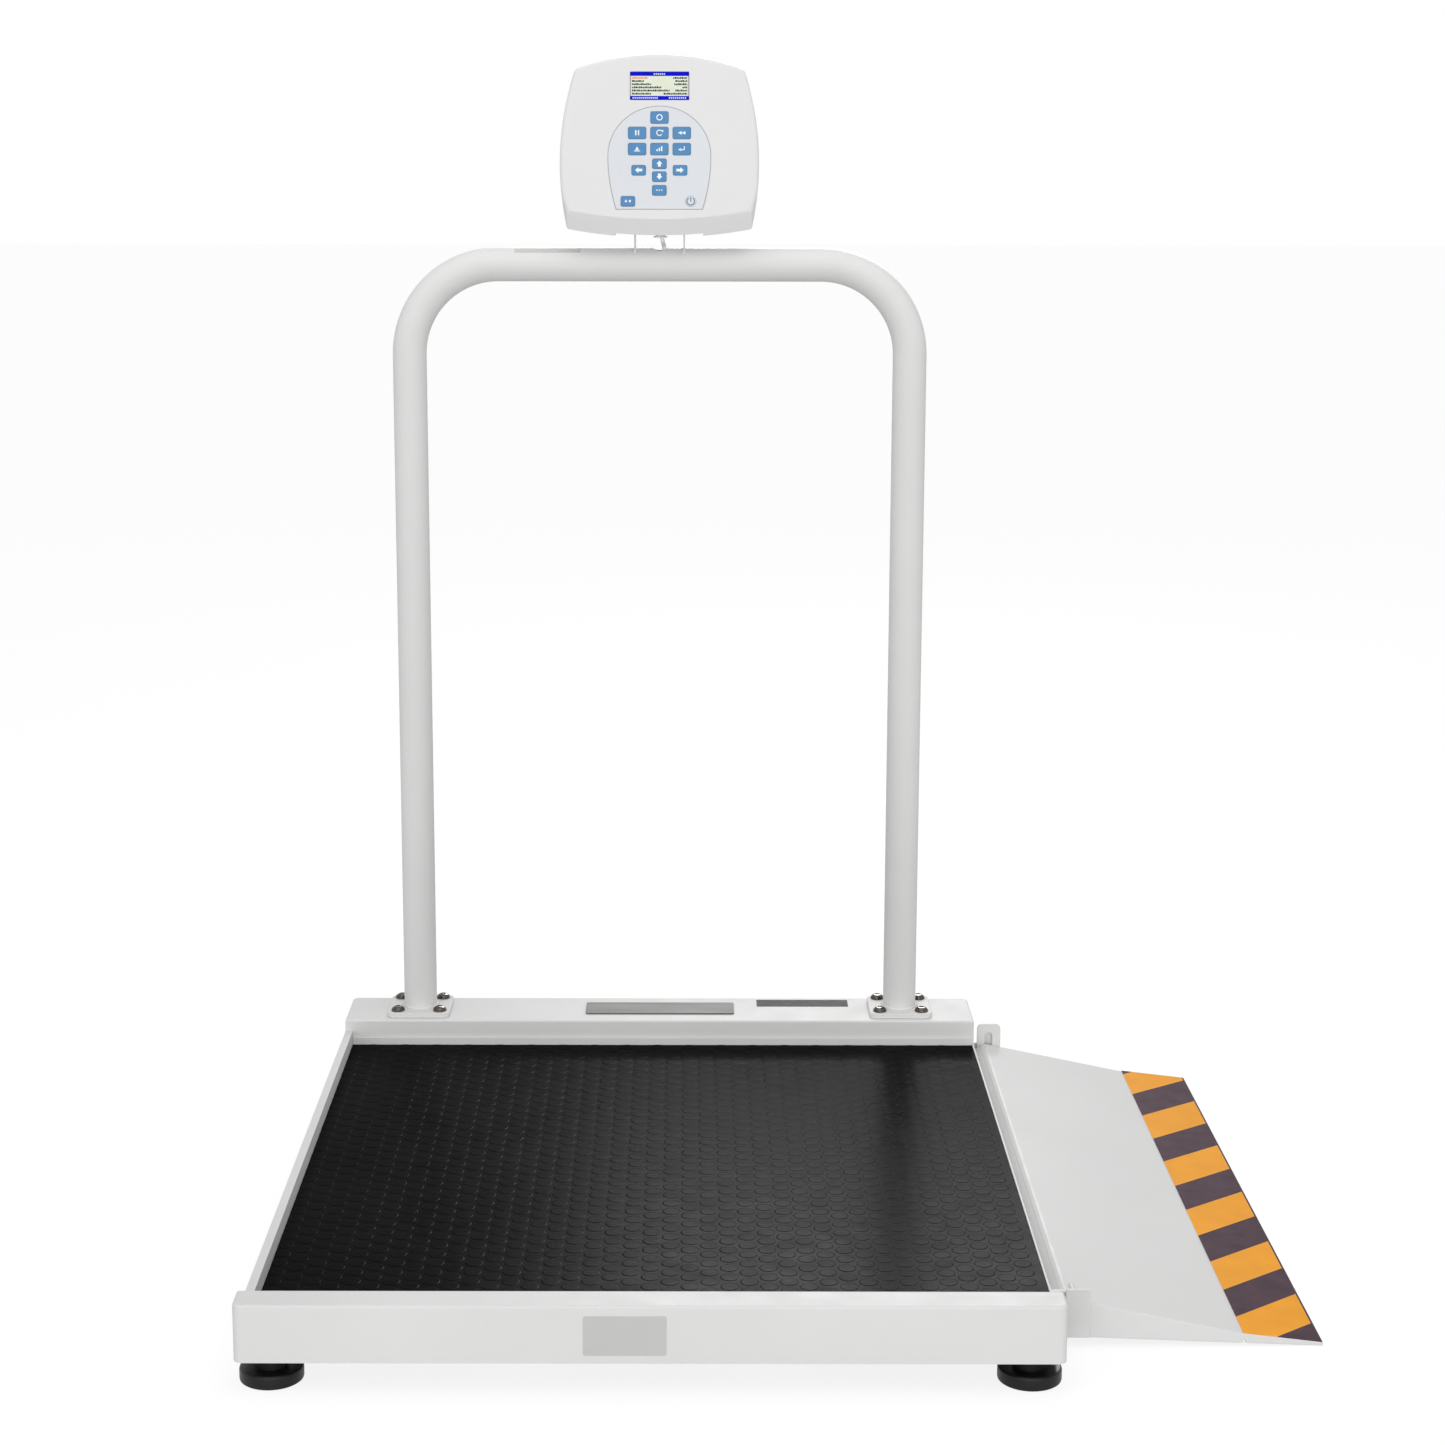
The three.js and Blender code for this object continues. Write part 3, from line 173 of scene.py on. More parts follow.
def tube_rings(points, radius, sides):
    """Rings of a round section carried along points without twist."""
    points = [Vector(p) for p in points]
    last = len(points) - 1
    tangents = [(points[min(k + 1, last)] - points[max(k - 1, 0)]).normalized()
                for k in range(last + 1)]
    side = tangents[0].orthogonal().normalized()
    rings = []
    for k, (point, tangent) in enumerate(zip(points, tangents)):
        if k:
            side = tangents[k - 1].rotation_difference(tangent) @ side
        side = (side - tangent * side.dot(tangent)).normalized()
        across = tangent.cross(side)
        size = radius(k / last) if callable(radius) else radius
        rings.append([point + (side * math.cos(math.tau * s / sides)
                               + across * math.sin(math.tau * s / sides)) * size
                      for s in range(sides)])
    return rings


def smooth_line(points, rounds=3):
    """Corners cut again and again, with the ends kept."""
    for _ in range(rounds):
        cut = [points[0]]
        for a, b in zip(points, points[1:]):
            cut.append(tuple(0.75 * p + 0.25 * q for p, q in zip(a, b)))
            cut.append(tuple(0.25 * p + 0.75 * q for p, q in zip(a, b)))
        points = cut + [points[-1]]
    return points


def through(points, steps):
    """Points on a smooth curve through the given ones."""
    points = [Vector(p) for p in points]
    ends = [2 * points[0] - points[1], *points, 2 * points[-1] - points[-2]]
    line = []
    for a, b, c, d in zip(ends, ends[1:], ends[2:], ends[3:]):
        for k in range(steps):
            t = k / steps
            line.append(0.5 * (2 * b + (c - a) * t + (2 * a - 5 * b + 4 * c - d) * t * t
                               + (3 * b - a - 3 * c + d) * t ** 3))
    return line + [points[-1]]


# Objects
def made(name, mesh, place):
    data = bpy.data.meshes.new(name)
    mesh.to_mesh(data)
    mesh.free()
    data.transform(place)
    obj = bpy.data.objects.new(name, data)
    bpy.context.scene.collection.objects.link(obj)
    return obj


def settle(obj):
    """Makes what the modifiers show the object's own mesh."""
    graph = bpy.context.evaluated_depsgraph_get()
    data = bpy.data.meshes.new_from_object(obj.evaluated_get(graph), depsgraph=graph)
    obj.modifiers.clear()
    obj.data = data
    return obj


def combine(obj, place, operation, *tools):
    """Cuts tools from obj, joins them to it, or keeps what it shares with them."""
    for mesh in tools:
        tool = made("tool", mesh, place)
        change = obj.modifiers.new("Change", "BOOLEAN")
        change.operation = operation
        change.solver = "MANIFOLD"
        change.object = tool
        settle(obj)
        bpy.data.objects.remove(tool)
    return obj


def soften(obj, width, segments=2, angle=30):
    """Rounds the edges that are sharper than the angle."""
    edge = obj.modifiers.new("Edges", "BEVEL")
    edge.width = width * MM
    edge.segments = segments
    edge.limit_method = "ANGLE"
    edge.angle_limit = math.radians(angle)
    edge.use_clamp_overlap = True
    return obj


def clean(obj):
    """Clears the slivers that cutting leaves."""
    mesh = bmesh.new()
    mesh.from_mesh(obj.data)
    bmesh.ops.remove_doubles(mesh, verts=mesh.verts, dist=0.01 * MM)
    bmesh.ops.dissolve_degenerate(mesh, dist=0.01 * MM, edges=mesh.edges)
    bmesh.ops.dissolve_limit(mesh, angle_limit=math.radians(0.2), verts=mesh.verts,
                             edges=mesh.edges)
    mesh.to_mesh(obj.data)
    mesh.free()
    return obj


def dress(obj, body, finish, nodes=(), sharp=32):
    """Gives a piece its finish and its smooth shading, and lets it ride."""
    if finish:
        obj.data.materials.clear()
        obj.data.materials.append(finish)
    obj.data.shade_smooth()
    obj.data.set_sharp_from_angle(angle=math.radians(sharp))
    shading = obj.modifiers.new("Shading", "WEIGHTED_NORMAL")
    shading.keep_sharp = True
    if body:
        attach(obj, body)
    if nodes:
        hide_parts(*nodes)
    return obj


def refine(node, finish, width=0.6, segments=2):
    """A CAD node keeps its shape, with softened edges and its finish."""
    obj = NODES[node]
    data = obj.data
    if "custom_normal" in data.attributes:
        data.attributes.remove(data.attributes["custom_normal"])
    data.materials.clear()
    data.materials.append(finish)
    data.shade_smooth()
    weld = obj.modifiers.new("Weld", "WELD")
    weld.merge_threshold = 0.00001
    flat = obj.modifiers.new("Flat", "DECIMATE")
    flat.decimate_type = "DISSOLVE"
    flat.angle_limit = math.radians(0.6)
    soften(obj, width, segments)
    obj.modifiers.new("Shading", "WEIGHTED_NORMAL")


# Finishes
def shade(tree, kind, inputs=(), **settings):
    """A shader node with its settings, its plain values and its links."""
    made_node = tree.nodes.new(kind)
    for key, value in settings.items():
        setattr(made_node, key, value)
    for key, value in dict(inputs).items():
        if isinstance(value, bpy.types.NodeSocket):
            tree.links.new(value, made_node.inputs[key])
        else:
            made_node.inputs[key].default_value = value
    return made_node


def grey_noise(tree, where, scale, low, high, detail=3.0, cells=False):
    """A soft random value between low and high."""
    if cells:
        source = shade(tree, "ShaderNodeTexVoronoi", {"Vector": where, "Scale": scale})
        value, least, most = source.outputs["Color"], 0.0, 1.0
    else:
        source = shade(tree, "ShaderNodeTexNoise",
                       {"Vector": where, "Scale": scale, "Detail": detail})
        value, least, most = source.outputs["Fac"], 0.3, 0.7
    return shade(tree, "ShaderNodeMapRange", {
        "Value": value, "From Min": least, "From Max": most, "To Min": low,
        "To Max": high}).outputs["Result"]


def finish(name, colour, rough, metal=0.0, tone=0.02, patch=6.0, span=0.05, grain=700.0,
           relief=0.02, stretch=(1, 1, 1), cells=False, **sockets):
    """A surface whose tone, gloss and fine relief all vary a little."""
    material = bpy.data.materials.new(name)
    material.use_nodes = True
    tree = material.node_tree
    shader = tree.nodes["Principled BSDF"]
    shader.inputs["Metallic"].default_value = metal
    for key, value in sockets.items():
        shader.inputs[key.replace("_", " ")].default_value = value
    where = shade(tree, "ShaderNodeTexCoord").outputs["Object"]
    drawn = shade(tree, "ShaderNodeMapping", {"Vector": where, "Scale": stretch}).outputs["Vector"]
    shadow = grey_noise(tree, drawn, patch, 1 - tone, 1 + tone, cells=cells)
    base = shade(tree, "ShaderNodeVectorMath", {0: colour, 3: shadow}, operation="SCALE")
    tree.links.new(base.outputs["Vector"], shader.inputs["Base Color"])
    gloss = grey_noise(tree, drawn, patch * 4, rough - span, rough + span)
    tree.links.new(gloss, shader.inputs["Roughness"])
    height = grey_noise(tree, drawn, grain, 0.0, 1.0, detail=2.0)
    bump = shade(tree, "ShaderNodeBump", {
        "Height": height, "Strength": 0.6, "Distance": relief * MM})
    tree.links.new(bump.outputs["Normal"], shader.inputs["Normal"])
    return material


POWDER = finish("powder_white", (0.725, 0.725, 0.72), 0.5, grain=800, relief=0.012,
                Specular_IOR_Level=0.06)
HEAD_WHITE = finish("head_plastic", (0.7, 0.7, 0.7), 0.45, tone=0.012, grain=1800,
                    relief=0.012)
PANEL = finish("panel_print", (0.65, 0.668, 0.7), 0.42, tone=0.012, grain=1400, relief=0.008)
PANEL_EDGE = finish("panel_edge", (0.36, 0.38, 0.4), 0.45, grain=1400)
KEY_BLUE = finish("key_blue", (0.062, 0.218, 0.44), 0.45, tone=0.03, patch=60, grain=1600,
                  relief=0.01)
GLYPH = finish("key_print", (0.85, 0.87, 0.88), 0.5, patch=80)
MARK_DARK = finish("dark_print", (0.012, 0.02, 0.025), 0.5, patch=80,
                   Specular_IOR_Level=0.1)
MARK_BLUE = finish("blue_print", (0.05, 0.12, 0.22), 0.5, patch=80)
RUBBER = finish("mat_rubber", (0.0052, 0.0052, 0.0054), 0.27, tone=0.2, patch=9, span=0.04,
                grain=420, relief=0.02, Specular_IOR_Level=0.003)
FOOT_RUBBER = finish("foot_rubber", (0.005, 0.005, 0.0048), 0.42, tone=0.15, patch=20,
                     grain=600, relief=0.03, Specular_IOR_Level=0.25)
# Steel with a dark base colour as a painted reflection of dark surroundings, used for the flange
# bolts and the hinge pin
DARK_REFLECTION_STEEL = finish("stainless", (0.085, 0.076, 0.064), 0.16, 1.0, tone=0.05, patch=80, span=0.05,
                   grain=900, relief=0.006)
# The same steel made bright, as a painted glint in the bolts' sockets
GLINT_STEEL = finish("steel_painted_glint", (0.75, 0.73, 0.7), 0.25, 1.0, patch=80)
PLATE = finish("plate_silver", (0.13, 0.128, 0.123), 0.6, 0.12, tone=0.05, patch=18,
               grain=300, relief=0.01, stretch=(0.12, 3, 1), Specular_IOR_Level=0.1)
ALUMINIUM = finish("cell_aluminium", (0.56, 0.57, 0.58), 0.36, 0.9, tone=0.05, patch=30,
                   grain=260, relief=0.01, stretch=(4, 0.3, 1))
ZINC = finish("zinc_steel", (0.4, 0.41, 0.42), 0.42, 0.85, tone=0.16, patch=70, cells=True,
              grain=220, relief=0.01)
GREY_PLASTIC = finish("grey_plastic", (0.27, 0.28, 0.3), 0.5, patch=25, grain=1500)
PALE_PLASTIC = finish("pale_plastic", (0.88, 0.88, 0.87), 0.5, patch=25, grain=1500)
CABLE = finish("cable_sheath", (0.86, 0.86, 0.85), 0.45, tone=0.04, patch=40, grain=900)
BOARD = finish("board_green", (0.012, 0.1, 0.045), 0.4, tone=0.15, patch=90, grain=400)
TAPE_ORANGE = finish("tape_orange", (0.95, 0.39, 0.022), 0.6, tone=0.05, patch=30, grain=900,
                     relief=0.06, Specular_IOR_Level=0.03)
DARK_STRIPES_AND_TIP_SHADOW = finish("tape_stripes_and_tip_shadow", (0.068, 0.034, 0.05), 0.6, tone=0.2, patch=45, grain=900,
                   relief=0.06, Specular_IOR_Level=0.03)
LABEL = finish("label_paper", (0.53, 0.53, 0.515), 0.45, tone=0.015, patch=30, grain=1200,
               relief=0.01)
STRIP = finish("strip_dark", (0.07, 0.072, 0.072), 0.6, tone=0.05, patch=30, grain=1000,
               Specular_IOR_Level=0.03)
SCREEN = finish("screen_glow", (0.7, 0.745, 0.61), 0.3, tone=0.03, patch=40, grain=1500,
                relief=0.004, Specular_IOR_Level=0.2)
SCREEN_BLUE = finish("screen_blue", (0.001, 0.003, 0.56), 0.35, patch=60,
                     Specular_IOR_Level=0.08)
SCREEN_ORANGE = finish("screen_orange", (0.8, 0.2, 0.06), 0.3, patch=60)
SCREEN_SIDE = finish("screen_side", (0.42, 0.45, 0.41), 0.4, patch=60)

# Camera, placed as the one that took the photograph
IMAGE = 1445  # the photograph's side in pixels
FOCAL = 2750  # in the same pixels
CENTRE = (688, 661)
SENSOR = 36
CAMERA_PLACE = (-0.1025, -3.0115, 1.207)
CAMERA_DOWN = 10.708  # in degrees
CAMERA_ROLL = 0.086
camera_data = bpy.data.cameras.new("camera")
camera = bpy.data.objects.new("camera", camera_data)
bpy.context.scene.collection.objects.link(camera)
bpy.context.scene.camera = camera
camera_data.sensor_width = SENSOR
camera_data.lens = FOCAL * SENSOR / IMAGE
camera_data.shift_x = (IMAGE / 2 - CENTRE[0]) / IMAGE
camera_data.shift_y = (CENTRE[1] - IMAGE / 2) / IMAGE
camera.matrix_world = (Matrix.Translation(CAMERA_PLACE)
                       @ Matrix.Rotation(math.radians(90 - CAMERA_DOWN), 4, "X")
                       @ Matrix.Rotation(math.radians(CAMERA_ROLL), 4, "Z"))

# Platform sizes
HALF = 406.5
DEPTH = 981
UNDER = 29
RAIL_TOP = 89
BOX_TOP = 90
BOX_FRONT = 885
SHEET = 2.5
SEAT = 0.3
POSTS = 313
RAIL_MIDDLE = 934
BAR = 1056
TUBE = 21.1
WALL = 2.6
BEND = 112
FLANGE = 81
FLANGE_TOP = BOX_TOP + SEAT + 6
POST_FOOT = FLANGE_TOP + SEAT
CELL_NOTCH = (17, 56.5)  # half its width and its top
PAST = 6  # how far a cutting body reaches past what it cuts
RAIL_DEPTH = 38
RAIL_PAST_LEFT = 3.2  # the front rail is a little wider than the platform
RAIL_PAST_RIGHT = 2.8
FOOT_SIDE = 376
FOOT_FRONT = 30.5
FOOT_REAR = 950.5
FEET = {"front_left": (-FOOT_SIDE, FOOT_FRONT), "front_right": (FOOT_SIDE, FOOT_FRONT),
        "rear_left": (-FOOT_SIDE, FOOT_REAR), "rear_right": (FOOT_SIDE, FOOT_REAR)}


def folded_channel(name, left, right, y0, y1, top, low, high, edge, notch_at, holes=()):
    """A folded sheet channel, open underneath."""
    piece = made(name, slab(rounded(left, right, y0, y1, low, high), UNDER, top, top=edge),
                 PLATFORM)
    inside = rounded(left + SHEET, right - SHEET, y0 + SHEET, y1 - SHEET,
                     max(low - SHEET, 1.5), max(high - SHEET, 1.5))
    reach, notch_top = CELL_NOTCH
    tools = [slab(inside, UNDER - PAST, top - SHEET, top=max(edge - SHEET, 0.5))]
    tools += [plain_box(x - reach, x + reach, notch_at - PAST, notch_at + PAST, UNDER - PAST,
                        notch_top) for x in (-FOOT_SIDE, FOOT_SIDE)]
    combine(piece, PLATFORM, "DIFFERENCE", *tools, *holes)
    dress(piece, "platform", POWDER, [name])


POST_BORES = [turned([(TUBE - WALL, BOX_TOP - PAST), (TUBE - WALL, BOX_TOP + PAST)], x=x,
                     y=RAIL_MIDDLE) for x in (-POSTS, POSTS)]
folded_channel("front_rail", -HALF - RAIL_PAST_LEFT, HALF + RAIL_PAST_RIGHT, 0, RAIL_DEPTH,
               RAIL_TOP, 9, 1.5, 3, RAIL_DEPTH)
folded_channel("rear_box", -HALF, HALF, BOX_FRONT, DEPTH, BOX_TOP, 1.5, 7, 2.5, BOX_FRONT,
               POST_BORES)

refine("side_rail_left", POWDER, 0.9, 3)
refine("side_rail_right", POWDER, 0.6)
refine("deck_plate", POWDER, 0.6)
refine("deck_frame", ZINC, 0.9, 3)
refine("nameplate", PLATE, 0.5, 3)
refine("junction_box", GREY_PLASTIC, 1.6, 3)
for corner in FEET:
    refine(f"load_cell_{corner}", ALUMINIUM, 0.5)
for side in ("left", "right"):
    refine(f"head_bracket_{side}", POWDER, 0.4)
for node in ("ramp_ear_front", "ramp_ear_rear"):
    refine(node, POWDER, 0.6, 3)
refine("ramp_plate", POWDER, 1.3, 3)
refine("circuit_board", BOARD, 0.2)
refine("battery_pack", GREY_PLASTIC, 2.5, 4)

# Mat: a slab of black rubber with low coin studs in offset rows
MAT_X = (-396.7, 404)
MAT_Y = (38.3, 881.9)
MAT_LOW = 55.8
SLAB_TOP = 58.15
STUD_TOP = 58.5
STUD_RADIUS = 9.6
STUD_EDGE = 0.3
STUD_COLUMN = 20.4
STUD_ROW = 23.6
STUD_SIDES = 16
FIRST_COLUMN = 7
FIRST_ROW = 9
MAT_MARGIN = 0.2  # the studs at the mat's edge are cut off this far inside it
STUD_RINGS = ((STUD_RADIUS, SLAB_TOP - 0.3), (STUD_RADIUS, STUD_TOP - STUD_EDGE),
              (STUD_RADIUS - 0.4, STUD_TOP - 0.12), (STUD_RADIUS - 1.4, STUD_TOP))


def studded_mat():
    mesh = slab(rounded(*MAT_X, *MAT_Y, 1.5, steps=3), MAT_LOW, SLAB_TOP, top=0.4, steps=2)
    (left, right), (front, back) = MAT_X, MAT_Y
    column = 0
    x = left + FIRST_COLUMN
    while x < right:
        y = front + (FIRST_ROW if column % 2 else FIRST_ROW + STUD_ROW / 2)
        while y < back:
            rows = []
            for radius, z in STUD_RINGS:
                ring = []
                for k in range(STUD_SIDES):
                    turn = math.tau * (k + 0.5) / STUD_SIDES
                    ring.append(mesh.verts.new((
                        min(max(x + radius * math.cos(turn), left + MAT_MARGIN),
                            right - MAT_MARGIN),
                        min(max(y + radius * math.sin(turn), front + MAT_MARGIN),
                            back - MAT_MARGIN), z)))
                rows.append(ring)
            for low, high in zip(rows, rows[1:]):
                for k in range(STUD_SIDES):
                    beside = (k + 1) % STUD_SIDES
                    mesh.faces.new((low[k], low[beside], high[beside], high[k]))
            mesh.faces.new(rows[0][::-1])
            mesh.faces.new(rows[-1])
            y += STUD_ROW
        x += STUD_COLUMN
        column += 1
    return mesh


dress(made("rubber_mat", studded_mat(), PLATFORM), "platform", RUBBER, ["deck_mat"])

# Handrail: one bent tube, its weld beads on the flanges, and the flanges' screws
BEND_STEPS = 24
CABLE_HOLE = 12
BRACKETS = (-30.5, 30.5)
WELD_SIDES = 12
WELD_FROM = 34  # in degrees from the top of the bar towards its front
WELD_SWEEP = 20


def bend(side, steps=BEND_STEPS):
    return [(side * (POSTS - BEND + BEND * math.cos(math.pi / 2 * k / steps)), RAIL_MIDDLE,
             BAR - BEND + BEND * math.sin(math.pi / 2 * k / steps)) for k in range(steps + 1)]


rail_line = [(-POSTS, RAIL_MIDDLE, POST_FOOT), *bend(-1), *bend(1)[::-1],
             (POSTS, RAIL_MIDDLE, POST_FOOT)]
rail = made("handrail", lofted(tube_rings(rail_line, TUBE, 48)
                               + tube_rings(rail_line, TUBE - WALL, 48)[::-1], loop=True), PLATFORM)
hole = turned([(CABLE_HOLE, 0), (CABLE_HOLE, TUBE + PAST)], 32)
hole.transform(Matrix.Translation((0, RAIL_MIDDLE, BAR)))
combine(rail, PLATFORM, "DIFFERENCE", hole)
dress(clean(rail), "platform", POWDER, ["handrail_tube"])


def weld_bead(name, x):
    """A ring of small overlapping ripples round a post's foot."""
    ripples = 44
    steps = ripples * 4
    rings = []
    for k in range(steps):
        turn = math.tau * k / steps
        size = 2.1 + 0.28 * abs(math.sin(ripples * turn / 2)) + 0.12 * math.sin(5 * turn + 1)
        out = TUBE + 0.7
        middle = Vector((x + out * math.cos(turn), RAIL_MIDDLE + out * math.sin(turn),
                         FLANGE_TOP + 0.5))
        radial = Vector((math.cos(turn), math.sin(turn), 0))
        rings.append([middle + radial * size * math.cos(math.tau * s / WELD_SIDES)
                      + Vector((0, 0, size * math.sin(math.tau * s / WELD_SIDES)))
                      for s in range(WELD_SIDES)])
    dress(made(name, lofted(rings, loop=True), PLATFORM), "platform", POWDER)


def weld_spot_radius(t):
    """Thin at both ends of the weld and full in its middle."""
    return 0.8 + 1.7 * math.sqrt(math.sin(math.pi * min(max(t, 0.02), 0.98)))


for label, x in zip(("left", "right"), BRACKETS):
    arc = [math.radians(WELD_FROM + WELD_SWEEP * k / 10) for k in range(11)]
    weld_out = TUBE + 0.4
    bead = [(x, RAIL_MIDDLE - weld_out * math.sin(a), BAR + weld_out * math.cos(a)) for a in arc]
    dress(made(f"bracket_weld_{label}", lofted(tube_rings(bead, weld_spot_radius, WELD_SIDES)),
               PLATFORM), "platform", POWDER)

HEX_TURNS = [math.tau * k / 6 for k in range(6)]
SOCKET_RADIUS = 3.3
BOLT_SPREAD = 27
FLANGE_CORNER = 11


def bolt_mesh(x, y):
    seat = FLANGE_TOP + SEAT
    dome = [(8.5, seat), (8.75, seat + 0.25), (8.75, seat + 1.2), (8.45, seat + 2.1),
            (7.7, seat + 3.2), (6.5, seat + 4.25), (5.1, seat + 5.05), (3.9, seat + 5.5)]
    body = [(4.4, seat - 22), (5, seat - 21.4), (5, seat)]
    return turned(body + dome, 36, x, y)


for label, side in (("left", -1), ("right", 1)):
    middle = side * POSTS
    reach = FLANGE / 2
    plate = slab(rounded(middle - reach, middle + reach, RAIL_MIDDLE - reach, RAIL_MIDDLE + reach,
                         FLANGE_CORNER, steps=10),
                 BOX_TOP + SEAT, FLANGE_TOP, top=1.1, bottom=0.4, steps=3)
    dress(made(f"post_flange_{label}", plate, PLATFORM), "platform", POWDER,
          [f"handrail_flange_{label}"])
    weld_bead(f"post_weld_{label}", middle)
    spots = [(a, b) for b in (-BOLT_SPREAD, BOLT_SPREAD) for a in (-BOLT_SPREAD, BOLT_SPREAD)]
    for index, (across, back) in enumerate(spots, 1):
        x, y = middle + across, RAIL_MIDDLE + back
        screw = made(f"bolt_{label}_{index}", bolt_mesh(x, y), PLATFORM)
        turn = 0.4 * index + side
        socket = lofted([[(x + SOCKET_RADIUS * math.cos(a + turn),
                           y + SOCKET_RADIUS * math.sin(a + turn), z)
                          for a in HEX_TURNS] for z in (FLANGE_TOP + 2.7, FLANGE_TOP + 9)])
        combine(screw, PLATFORM, "DIFFERENCE", socket)
        dress(screw, "platform", DARK_REFLECTION_STEEL, [f"flange_bolt_{label}_{index}"])
        # A bright seat deep in each socket is a lit copy of the bolt's steel: a painted glint at
        # the bolt's middle
        seat = turned([(3.2, FLANGE_TOP + 2.4), (3.2, FLANGE_TOP + 4.4), (1, FLANGE_TOP + 5)],
                      24, x, y)
        dress(made(f"bolt_glint_seat_{label}_{index}", seat, PLATFORM), "platform", GLINT_STEEL)

# Bare labels, and the strip on the housing
FRONT_LABEL = (-66, 16, 37.5, 78.5)
BOX_STRIP = (127, 247, 944, 972)
BAR_LABEL = (-180, -98)
LABEL_EDGE = 0.12
dress(made("front_label", slab(rounded(*FRONT_LABEL, 2.5), 0, 0.35, top=LABEL_EDGE),
           PLATFORM @ FACING), "platform", LABEL)
dress(made("box_strip", slab(rounded(*BOX_STRIP, 1), BOX_TOP, BOX_TOP + 0.4, top=LABEL_EDGE),
           PLATFORM), "platform", STRIP)


def bar_label():
    """A thin bare label wrapped over the bar."""
    rings = []
    for x in BAR_LABEL:
        ring = []
        for radius, turns in ((TUBE + 0.3, range(-50, 50, 5)), (TUBE - 0.1, range(45, -55, -5))):
            ring += [(x, RAIL_MIDDLE - radius * math.sin(math.radians(a)),
                      BAR + radius * math.cos(math.radians(a))) for a in turns]
        rings.append(ring)
    return lofted(rings)


dress(made("bar_label", bar_label(), PLATFORM), "platform", LABEL)

# Ramp: the striped tape on its toe, whose last strip at the tip is a painted contact shadow in the
# dark stripe colour
FRONT = 106
BACK = 911
KNEE_X = 600
TIP_X = 685
KNEE_Z = 14
TIP_Z = 3.9
STRIPES = (-38, 35.7, 103.6, 178, 250.3, 324.9, 397.6, 475.7, 551.8, 632.5, 710.8, 787)
# where the painted contact shadow along the tip begins
TIP_SHADOW_BAND = 682
TAPE_INSET = 3.4
TAPE_SIDE = 0.6  # bare edge in front and behind
TAPE_LOW = 0.05
TAPE_HIGH = 0.75


def striped_tape():
    slope = (KNEE_Z - TIP_Z) / (TIP_X - KNEE_X)
    rings = []
    for x in (KNEE_X + TAPE_INSET, TIP_X - 0.8):
        top = TIP_Z + (TIP_X - x) * slope
        front, back = FRONT + TAPE_SIDE, BACK - TAPE_SIDE
        rings.append([(x, front, top + TAPE_LOW), (x, back, top + TAPE_LOW),
                      (x, back, top + TAPE_HIGH), (x, front, top + TAPE_HIGH)])
    mesh = lofted(rings)
    cuts = [((KNEE_X, FRONT + y, 0), (-1, 1, 0)) for y in STRIPES]
    cuts.append(((TIP_SHADOW_BAND, 0, 0), (1, 0, 0)))
    for point, normal in cuts:
        bmesh.ops.bisect_plane(mesh, geom=mesh.verts[:] + mesh.edges[:] + mesh.faces[:],
                               plane_co=point, plane_no=normal)
    for face in mesh.faces:
        middle = face.calc_center_median()
        along = middle.y - FRONT - (middle.x - KNEE_X)
        dark = sum(along > edge for edge in STRIPES) % 2 == 0
        # faces past the tip band take the dark colour as a painted shadow
        face.material_index = 1 if dark or middle.x > TIP_SHADOW_BAND else 0
    return mesh


tape = made("striped_tape", striped_tape(), PLATFORM)
tape.data.materials.append(TAPE_ORANGE)
tape.data.materials.append(DARK_STRIPES_AND_TIP_SHADOW)
dress(tape, "ramp", None, ["hazard_tape"])

# The ramp's upper flange has a turned-out lip, and reaches further down between its skirts
LIP = [(415, 15), (418, 15), (418, 45), (422, 49), (422, 50.62), (420, 49.5), (409.7, 42),
       (409.7, 40.8), (415, 44.6)]
dress(made("ramp_lip", along_y(LIP, FRONT + 0.4, BACK - 0.1), PLATFORM), "ramp", POWDER)

# Hooks that carry the ramp: a low arm under the front pin, and a plate behind the rear slot
EDGE_FACE = HALF + SEAT
HOOK_FOOT = 409.2  # outer face of the plates that hold the hooks on the platform
HOOK_FRONT = 114
HOOK_EDGE = 0.4
ARM = [(EDGE_FACE, 52.35), (433.9, 52.35), (433.9, 57), (432.2, 57), (431.9, 55.15),
       (EDGE_FACE, 55.15)]
REAR_PLATE = [(EDGE_FACE, 31), (436.3, 31), (436.3, 66), (415.6, 66), (415.6, 49),
              (EDGE_FACE, 49)]
for name, shape, nodes in (
        ("hook_arm_front", along_y(ARM, HOOK_FRONT, 120), ["ramp_hook_front"]),
        ("hook_foot_front", plain_box(EDGE_FACE, HOOK_FOOT, HOOK_FRONT, 138, 30.4, 52.4), []),
        ("hook_plate_rear", along_y(REAR_PLATE, 916.8, 921.3), ["ramp_hook_rear"]),
        ("hook_foot_rear", plain_box(EDGE_FACE, HOOK_FOOT, 921.2, 939.3, 31, 49), [])):
    dress(soften(made(name, shape, PLATFORM), HOOK_EDGE), "platform", POWDER,
          nodes)

# Feet: turned black levelling feet, each a pad and a stepped neck that ends in its stem
FOOT_PROFILE = ((27, 0), (30.4, 0.3), (31.6, 1.2), (32, 2.6), (32, 11.4), (31.5, 13.2),
                (30.2, 14.3), (28.6, 14.5), (17.6, 14.5))
NECK_PROFILE = ((17, 14), (17, 27.6), (16.2, 28.7), (6.4, 28.7), (6, 29.2), (6, 50.2),
                (5.4, 50.7))
for corner, (x, y) in FEET.items():
    dress(made(f"pad_{corner}", turned(FOOT_PROFILE, 64, x, y), PLATFORM),
          f"foot_{corner}_body", FOOT_RUBBER, [f"foot_{corner}"])
    dress(made(f"neck_{corner}", turned(NECK_PROFILE, 40, x, y), PLATFORM),
          f"foot_{corner}_body", FOOT_RUBBER)

